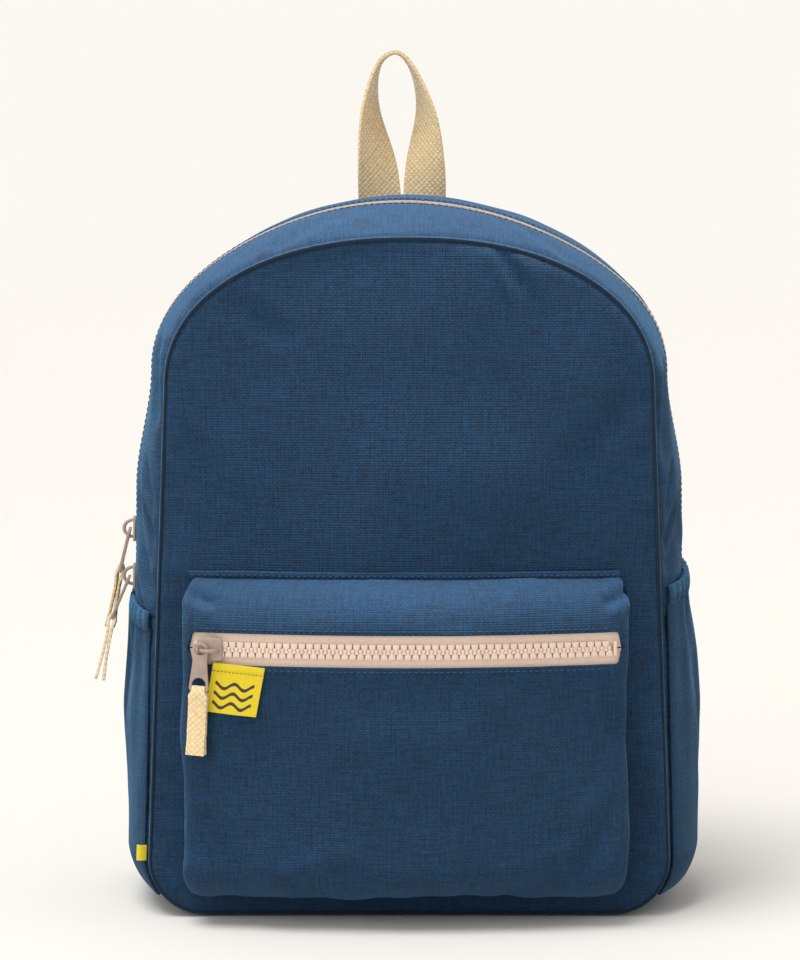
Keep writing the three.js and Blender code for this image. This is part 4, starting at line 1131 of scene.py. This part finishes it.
def shoulder_strap(name, side):
    body = f"shoulder_strap_{name}"
    path = smooth_path(mirror_x(PAD_POINTS, side), 90)
    wide = strap_width(side)
    tangent = unit(np.gradient(path, axis=0))
    across = unit(wide - tangent * np.sum(tangent * wide, axis=1, keepdims=True))
    normal = np.cross(across, tangent) * side
    share = np.linspace(0, 1, 90)
    taper = np.clip((share - 0.78) / 0.22, 0, 1) ** 2
    half = mix(PAD_HALF_TOP, PAD_HALF_END, taper)

    def crown(run, off, up):
        return 1.2 * up * (1 - (off / PAD_HALF_TOP) ** 2)

    face = sweep(f"strap_face_{name}_cloth", path + normal * 4.6, wide, half, 1.1, sides=24, power=4,
                 relief=crown)
    finish_piece(face, f"strap_face_{name}_cloth", CANVAS, body, [f"strap_face_{name}"])
    pad = sweep(f"strap_pad_{name}", path - normal * 1.6, wide, half - 1.2, 3.6, sides=24, power=3)
    finish_piece(pad, f"strap_pad_{name}", MESH, body,
                 [f"strap_lining_{name}", f"strap_foam_{name}"])
    for edge, sign in (("inner", -1), ("outer", 1)):
        rim = path + across * (half * sign)[:, None] + normal * 1.7
        tape = sweep(f"strap_binding_{edge}_{name}", rim, normal, 4.6, 1.0, sides=16, power=3)
        finish_piece(tape, f"strap_binding_{edge}_{name}", BINDING, body)
    lower = slice(38, 90)
    webbing_band(f"strap_webbing_{name}_band", path[lower] + normal[lower] * 6.7, wide, body,
                 [f"strap_webbing_{name}"])
    for edge, sign in (("in", -1), ("out", 1)):
        row = path[lower] + normal[lower] * 7.5 + across[lower] * 10.6 * sign
        stitches(f"strap_stitch_{name}_{edge}", row, None, body, normals=normal[lower], material=WEBBING)
    tail = smooth_path(mirror_x(TAIL_POINTS, side), 60)
    webbing_band(f"strap_tail_{name}_band", tail, wide, body, [f"strap_tail_{name}"])


def outline_solid(name, shape, holes, thickness, bevel, rounds=2):
    """A flat moulded or pressed part: its outline and holes as a filled curve with rounded edges."""
    curve = bpy.data.curves.new(name, "CURVE")
    curve.dimensions = "2D"
    curve.fill_mode = "BOTH"
    curve.extrude = (thickness / 2 - bevel) * MM
    curve.bevel_depth = bevel * MM
    curve.bevel_resolution = rounds
    curve.offset = -bevel * MM
    for points in [shape] + holes:
        spline = curve.splines.new("POLY")
        spline.points.add(len(points) - 1)
        spline.use_cyclic_u = True
        for point, (x, y) in zip(spline.points, points):
            point.co = (x * MM, y * MM, 0, 1)
    obj = bpy.data.objects.new(name, curve)
    bpy.context.scene.collection.objects.link(obj)
    only(obj)
    bpy.ops.object.convert(target="MESH")
    return bpy.context.object


def arc(cx, cy, radius, start, end, count):
    return [(cx + radius * math.cos(math.radians(a)), cy + radius * math.sin(math.radians(a)))
            for a in np.linspace(start, end, count)]


def set_frame(obj, origin, x, y, z):
    """Moves a part made at the origin into a frame given in millimetres."""
    matrix = Matrix((tuple(x), tuple(y), tuple(z))).transposed().to_4x4()
    matrix.translation = Vector(tuple(np.asarray(origin) * MM))
    obj.data.transform(matrix)
    obj.data.update()


def box_slot(low, high, half):
    """A rectangle with rounded corners, from low to high and half its width to each side."""
    r = min(half, (high - low) / 2) * 0.45
    return (arc(half - r, high - r, r, 0, 90, 5) + arc(-half + r, high - r, r, 90, 180, 5)
            + arc(-half + r, low + r, r, 180, 270, 5) + arc(half - r, low + r, r, 270, 360, 5))


def ladder_lock(name, side):
    """The moulded buckle between a strap's pad and its tail, and the webbing threaded through it."""
    start = smooth_path(mirror_x(PAD_POINTS, side), 50)[-1]
    end = smooth_path(mirror_x(TAIL_POINTS, side), 50)[0]
    down = unit(end - start)
    across = strap_width(side)
    across = unit(across - down * np.dot(across, down))
    face = np.cross(across, down)
    half_long = np.linalg.norm(end - start) / 2 - 1.2
    shape = box_slot(-half_long, half_long, 17)
    holes = [box_slot(-half_long + 3.4, -2.2, 13.2), box_slot(2.2, half_long - 3.4, 13.2)]
    obj = outline_solid(f"ladder_lock_{name}_body", shape, holes, 4.0, 0.9)
    set_frame(obj, (start + end) / 2, across, down, face)
    recalculate_normals(obj, merge=True)
    body = f"shoulder_strap_{name}"
    finish_piece(obj, f"ladder_lock_{name}_body", PLASTIC, body, [f"ladder_lock_{name}"])
    away = face * side
    bridge = [start - down * 2 + away * 5.5, start + down * 6 + away * 3.4, (start + end) / 2 + away * 3.0,
              end - down * 6 - away * 0.5, end + down * 1.0]
    webbing_band(f"lock_webbing_{name}", smooth_path(bridge, 30), across, body)


def yoke_top(x):
    """The yoke's upper edge, which follows the back's arch just inside the seam."""
    edge_x, edge_z, _, _, _ = outline(np.linspace(-200, 200, 200), 1.0)
    order = np.argsort(edge_x)
    return np.minimum(352, np.interp(x, edge_x[order], edge_z[order]) - 6.5)


def strap_fixings():
    """The yoke over the straps' upper ends and the anchor tabs at the foot of the back."""
    half, low = 76, 306

    def yoke(u, v):
        x = mix(-half, half, u)
        z = mix(low, yoke_top(x), v)
        return vec(x, SEAM + CLOTH + 3.6 + 0.5 * np.sin(np.pi * v), z)

    def yoke_relief(u, v, p):
        return 0.4 * noise(p[:, 0], p[:, 2], 20, 71) * smooth(np.minimum(v, 1 - v) / 0.1)

    obj = cloth("yoke_cloth", (80, 24), yoke, yoke_relief, thickness=1.6, outward=-1, edge=0.6)
    finish_piece(obj, "yoke_cloth", CANVAS, "bag", ["strap_yoke"])
    x = np.linspace(2 - half, half - 2, 60)
    for end, z in (("lower", low + 3 + 0 * x), ("upper", yoke_top(x) - 3)):
        stitches(f"yoke_stitch_{end}", vec(x, SEAM + CLOTH + 3.8, z), (0, 1, 0), "bag")
    for name, side in SIDES:
        shape = [(92, 24), (127, 24), (127, 58), (119, 58), (92, 36)]
        tab = outline_solid(f"anchor_{name}", shape, [], 2.2, 0.7)
        set_frame(tab, (0, SEAM + CLOTH + 2.0, 0), (side, 0, 0), (0, 0, 1), (0, -1, 0))
        recalculate_normals(tab, merge=True)
        finish_piece(tab, f"anchor_{name}", CANVAS, "bag", [f"strap_anchor_{name}"])
        row = np.array([(side * 95, SEAM + CLOTH + 3.1, 36), (side * 119, SEAM + CLOTH + 3.1, 55)])
        stitches(f"anchor_stitch_{name}", row, (0, 1, 0), "bag")


# ---- Sliders and pulls
PLATE_OUT, BRIDGE_BASE = 1.5, 2.7


def slider_plate(low, high, wide, crown):
    """A plate from low to high, tapered towards both ends, its top raised by crown along the middle."""
    clear_selection()
    bpy.ops.mesh.primitive_cube_add(size=1)
    plate = bpy.context.object
    plate.data.transform(Matrix.Diagonal((12.6 * MM, wide * MM, (high - low) * MM, 1)))
    plate.data.transform(Matrix.Translation((0, 0, (high + low) / 2 * MM)))
    bpy.ops.object.mode_set(mode="EDIT")
    bpy.ops.mesh.select_all(action="SELECT")
    bpy.ops.mesh.subdivide(number_cuts=3)
    bpy.ops.object.mode_set(mode="OBJECT")
    for v in plate.data.vertices:
        along = v.co.x / MM / 6
        v.co.y *= 1 - 0.28 * max(along - 0.3, 0) / 0.7 - 0.16 * max(-along - 0.2, 0) / 0.8
        if crown and v.co.z > (high - 0.1) * MM:
            v.co.z += crown * MM * (1 - (v.co.y / MM / 6.2) ** 2)
    apply_modifier(plate, "BEVEL", width=0.4 * MM, segments=3, limit_method="ANGLE",
                   angle_limit=math.radians(50))
    return plate


def slider_body(origin, x, y, z):
    """Die-cast slider: two tapered plates, a post between them and a bridge over the top; X along the zip."""
    parts = [slider_plate(PLATE_OUT, BRIDGE_BASE, 12.4, 0.5), slider_plate(-3.3, -2.5, 9, 0)]
    clear_selection()
    bpy.ops.mesh.primitive_torus_add(major_radius=1, minor_radius=0.185, major_segments=40, minor_segments=12)
    hoop = bpy.context.object
    hoop.data.transform(Matrix.Rotation(math.pi / 2, 4, "X"))
    hoop.data.transform(Matrix.Diagonal((4.5 * MM, 5.2 * MM, 5.3 * MM, 1)))
    bpy.ops.object.mode_set(mode="EDIT")
    bpy.ops.mesh.select_all(action="SELECT")
    bpy.ops.mesh.bisect(plane_co=(0, 0, -0.4 * MM), plane_no=(0, 0, 1), clear_inner=True, use_fill=True)
    bpy.ops.object.mode_set(mode="OBJECT")
    hoop.data.transform(Matrix.Translation((0, 0, BRIDGE_BASE * MM)))
    parts.append(hoop)
    clear_selection()
    bpy.ops.mesh.primitive_cylinder_add(vertices=12, radius=1.1 * MM, depth=4.6 * MM,
                                        location=(3 * MM, 0, -0.5 * MM))
    post = bpy.context.object
    bpy.ops.object.transform_apply(location=True, rotation=True, scale=True)
    parts.append(post)
    clear_selection()
    for part in parts:
        part.select_set(True)
    bpy.context.view_layer.objects.active = parts[0]
    bpy.ops.object.join()
    obj = bpy.context.object
    set_frame(obj, origin, x, y, z)
    return obj


def pull_tab():
    """Pressed pull: round eye above, tapering shank, arched slot for the webbing below."""
    end = -21
    flank = [(3.7, -5), (4.1, -10), (4.8, end + 5), (5.0, end + 2.5)]
    shape = (arc(0, 0, 4.2, 190, -10, 24) + flank + arc(3.6, end + 1.4, 1.4, 0, -90, 5)
             + arc(-3.6, end + 1.4, 1.4, 270, 180, 5) + [(-x, y) for x, y in flank[::-1]])
    eye = arc(0, 0, 2.6, 0, 345, 24)
    slot = ([(3.6, end + 1.8), (3.6, end + 3.4)] + arc(0, end + 3.4, 3.6, 10, 170, 11)
            + [(-3.6, end + 3.4), (-3.6, end + 1.8)])
    return outline_solid("pull", shape, [eye, slot], 1.5, 0.35)


def webbing_loop(name, origin, axes, splay, body, node, seed):
    """Webbing folded through the pull's slot; its axes are its width, thickness and length upwards."""
    leg = [(0, -1.5 - splay, -33), (0, -1.15, -20), (0, -1.0, -7), (0, -1.6, -1.5)]
    local = leg + [(0, 0, 1.7)] + [(0, -y, z) for _, y, z in leg[::-1]]
    path = smooth_path(local, 80)
    height = path[:, 2]
    half = mix(3.4, 4.8, smooth((-height - 0.2) / 2.4)) + 0.15 * noise(height, height * 0, 6, seed)
    placed = np.asarray(origin) + path @ np.stack(axes)
    band = sweep(name, placed, axes[0], half, STRAP_THIN, sides=16, power=6,
                 relief=lambda run, off, up: 0.12 * noise(run * 1.0, off, 3, seed))
    finish_piece(band, name, WEBBING, body, [node])


def slider_set(prefix, bodies, origin, along, out, eye, length, face, hang, nodes):
    """A slider, its pull and the webbing loop: each with its own body and CAD node."""
    across = np.cross(out, along)
    slider = slider_body(origin, along, across, out)
    finish_piece(slider, prefix + "_slider", METAL, bodies[0], [nodes[0]], angle=45)
    side = np.cross(-length, face)
    pull = pull_tab()
    set_frame(pull, eye, side, -length, face)
    recalculate_normals(pull, merge=True)
    finish_piece(pull, prefix + "_pull", METAL, bodies[1], [nodes[1]])
    bar = eye + length * PULL_LENGTH
    up = -hang
    webbing_loop(prefix + "_loop", bar, (side, np.cross(up, side), up), 0.6, bodies[2], nodes[2], 83)


def side_slider(name, height, leaning, splay):
    """A main slider at a height on the left side; its pull leans outwards, and back by its splay."""
    def at(z):
        return gusset_point(-side_distance(z), ZIP_AT)

    origin = at(height)
    along = unit(at(height + 10) - at(height - 10))
    out = np.array([-along[2], 0, along[0]])
    lean, spread = math.radians(leaning), math.radians(splay)
    down = -along * math.cos(lean) + out * math.sin(lean)
    face = unit(np.cross(down, (0, 1, 0)))
    length = down * math.cos(spread) + np.array([0, math.sin(spread), 0])
    eye = origin + out * (BRIDGE_BASE + 2.1) + length * 3.9
    side = np.cross(-length, face)
    droop = math.radians(12)
    hang = np.array([-math.sin(droop), 0, -math.cos(droop)])
    hang = unit(hang - side * np.dot(hang, side))
    bodies = (f"{name}_slider", f"{name}_pull", f"{name}_pull_loop")
    nodes = (f"main_slider_{name}", f"main_pull_{name}", f"main_pull_loop_{name}")
    slider_set(f"main_{name}", bodies, origin, along, out, eye, length, face, hang, nodes)


def pocket_slider():
    """The front pocket's slider near the left end of its zip, with its pull hanging down."""
    turn = math.asin(POCKET_SLIDER_X / POCKET_ARC)
    out = np.array([math.sin(turn), -math.cos(turn), 0])
    along = np.array([-math.cos(turn), -math.sin(turn), 0])
    origin = np.array([0, PLAN_CENTRE - SEAM, POCKET_ZIP_Z]) + out * POCKET_ARC
    eye = origin + along * 3.85 + out * (BRIDGE_BASE + 3.1)
    swing = math.radians(3)
    length = np.array([0, 0, -math.cos(swing)]) + along * math.sin(swing)
    slider_set("pocket", ("front_slider", "front_pull", "front_pull_loop"), origin, along, out, eye,
               length, out, length, ("pocket_slider", "pocket_pull", "pocket_pull_loop"))


# ---- Labels
def woven_label():
    """The label hanging under the pocket's zip: it lies a little askew and lifts off towards its foot."""
    middle, top = -85, 136.5
    left, right = plan_share(middle - LABEL_SIZE[0] / 2), plan_share(middle + LABEL_SIZE[0] / 2)

    def askew(u):
        return 2.2 * (u - 0.4)

    def label(u, v):
        z = mix(top - LABEL_SIZE[1], top, v) - askew(u)
        skew = mix(-0.0165, 0.0, v)
        lift = 2.0 + 0.8 * np.sin(np.pi * u) * (1 - v)
        return pocket_surface(mix(left, right, u) + skew, z, lift)

    def relief(u, v, p):
        crease = -0.35 * np.exp(-((v - 0.84) / 0.03) ** 2)
        return crease + 0.25 * noise(u * 26, v * 25, 9, 91)

    obj = cloth("label_cloth", (40, 40), label, relief, thickness=0.8, edge=0.2)
    finish_piece(obj, "label_cloth", YELLOW, "label", ["woven_label"])
    u = np.linspace(left + 0.001, right - 0.001, 20)
    row = pocket_surface(u - 0.0026, top - 4.0 - askew(np.linspace(0, 1, 20)), 2.35)
    stitches("label_stitch", row, (0, -1, 0), "label", step=2.0, length=1.5, radius=0.18, material=PLASTIC)


def side_tag():
    """The small tag caught in the front seam, low on the left side."""
    def tag(u, v):
        height = mix(28.0, 36.0, v)
        base = gusset_point(-side_distance(height), 0.028 + 0 * u, 1.4 + 4.0 * np.sin(u * np.pi / 2))
        return base + vec(0 * u, -0.7 * np.sin(u * np.pi), 0 * u)

    obj = cloth("tag_cloth", (16, 16), tag, thickness=1.0, edge=0.3)
    finish_piece(obj, "tag_cloth", TAG, "bag", ["side_tag"])


# ---- Carried-over CAD nodes
def dress_cad():
    """Materials for the CAD pieces that stay as they are."""
    dressing = {"back_foam": FOAM, "back_lining": LINING,
                "main_zip_stop_left": TEETH, "main_zip_stop_right": TEETH}
    for node, material in dressing.items():
        mesh = frame["nodes"][node].data
        mesh.materials.clear()
        mesh.materials.append(material)


# ---- Stage
def add_light(name, kind, power, aim, place=(0, 0, 0), **settings):
    """A lamp at a place, shining along aim."""
    data = bpy.data.lights.new(name, kind)
    data.energy = power
    for key, value in settings.items():
        setattr(data, key, value)
    light = bpy.data.objects.new(name, data)
    light.location = place
    light.rotation_euler = Vector(aim).to_track_quat("-Z", "Y").to_euler()
    bpy.context.scene.collection.objects.link(light)
    return light


def stage():
    """Pale floor, painted a little darker round the bag against the lamps' pool of light, and backdrop, a soft
    sun, two area lamps and the camera.
    """
    clear_selection()
    bpy.ops.mesh.primitive_plane_add(size=12, location=(0, 0, -0.0005))
    floor = bpy.context.object
    floor.name = "floor"
    material, net, shader = new_material("pale_floor", 0.9)
    place = coordinates(net, "Object")
    # Painted shade: the floor is a little darker near the bag to even out the lamps' brighter pool of light
    # there
    away = net.node("ShaderNodeVectorMath", {0: place}, operation="LENGTH").outputs["Value"]
    far = net.math("ADD", net.math("MULTIPLY", away, 0.55), net.math("MULTIPLY", net.noise(place, 3.0), 0.05))
    far = net.math("MINIMUM", far, 1.0)
    colour = net.blend(far, (0.935, 0.91, 0.86, 1), (0.945, 0.92, 0.87, 1))
    net.tree.links.new(colour, shader.inputs["Base Color"])
    floor.data.materials.append(material)
    world = bpy.data.worlds.new("studio")
    bpy.context.scene.world = world
    world.use_nodes = True
    sky = Net(world.node_tree)
    lit = world.node_tree.nodes["Background"]
    lit.inputs[0].default_value = (1.0, 0.985, 0.955, 1)
    lit.inputs[1].default_value = 0.52
    seen = sky.node("ShaderNodeBackground", {0: (0.965, 0.939, 0.888, 1), 1: 1.0})
    rays = sky.node("ShaderNodeLightPath")
    both = sky.node("ShaderNodeMixShader", {0: rays.outputs["Is Camera Ray"], 1: lit.outputs[0],
                                            2: seen.outputs[0]})
    world.node_tree.links.new(both.outputs[0], world.node_tree.nodes["World Output"].inputs[0])
    add_light("soft_sun", "SUN", 1.78, (0.28, 0.22, -1), angle=math.radians(34))
    middle = Vector((0, 0, 0.2))
    area_lamps = (("key", (-1.0, -1.3, 0.9), 0.9, 6), ("edge", (1.2, -0.2, 0.8), 0.8, 0.8))
    for name, place, size, power in area_lamps:
        add_light(name, "AREA", power, middle - Vector(place), place, size=size)
    camera_data = bpy.data.cameras.new("camera")
    camera_data.lens = 122
    camera = bpy.data.objects.new("camera", camera_data)
    camera.location = (-0.0047, -1.7, 0.41)
    camera.rotation_euler = (math.radians(90 - 6.39), 0, 0)
    bpy.context.scene.collection.objects.link(camera)
    bpy.context.scene.camera = camera
    bpy.context.scene.view_settings.view_transform = "Standard"


def light_from_above():
    """An overhead lamp for the canvas alone, so that its upper faces stand out."""
    lit_only = bpy.data.collections.new("lit_from_above")
    for piece in bpy.context.scene.objects:
        if piece.type == "MESH" and piece.active_material in (CANVAS, HEM_CANVAS):
            lit_only.objects.link(piece)
    overhead = add_light("overhead", "SUN", 7.5, (0.05, -0.05, -1), angle=math.radians(20))
    overhead.light_linking.receiver_collection = lit_only


stage()
front_panel()
back_panel()
gussets()
seam_binding_and_shade_cords()
main_zip()
front_pocket()
pocket_zip()
pocket_seam()
bottle_pockets()
grab_handle()
for strap_name, strap_side in SIDES:
    shoulder_strap(strap_name, strap_side)
    ladder_lock(strap_name, strap_side)
strap_fixings()
side_slider("upper", 194, 14, 17)
side_slider("lower", 169, 22, -17)
pocket_slider()
woven_label()
side_tag()
dress_cad()
light_from_above()
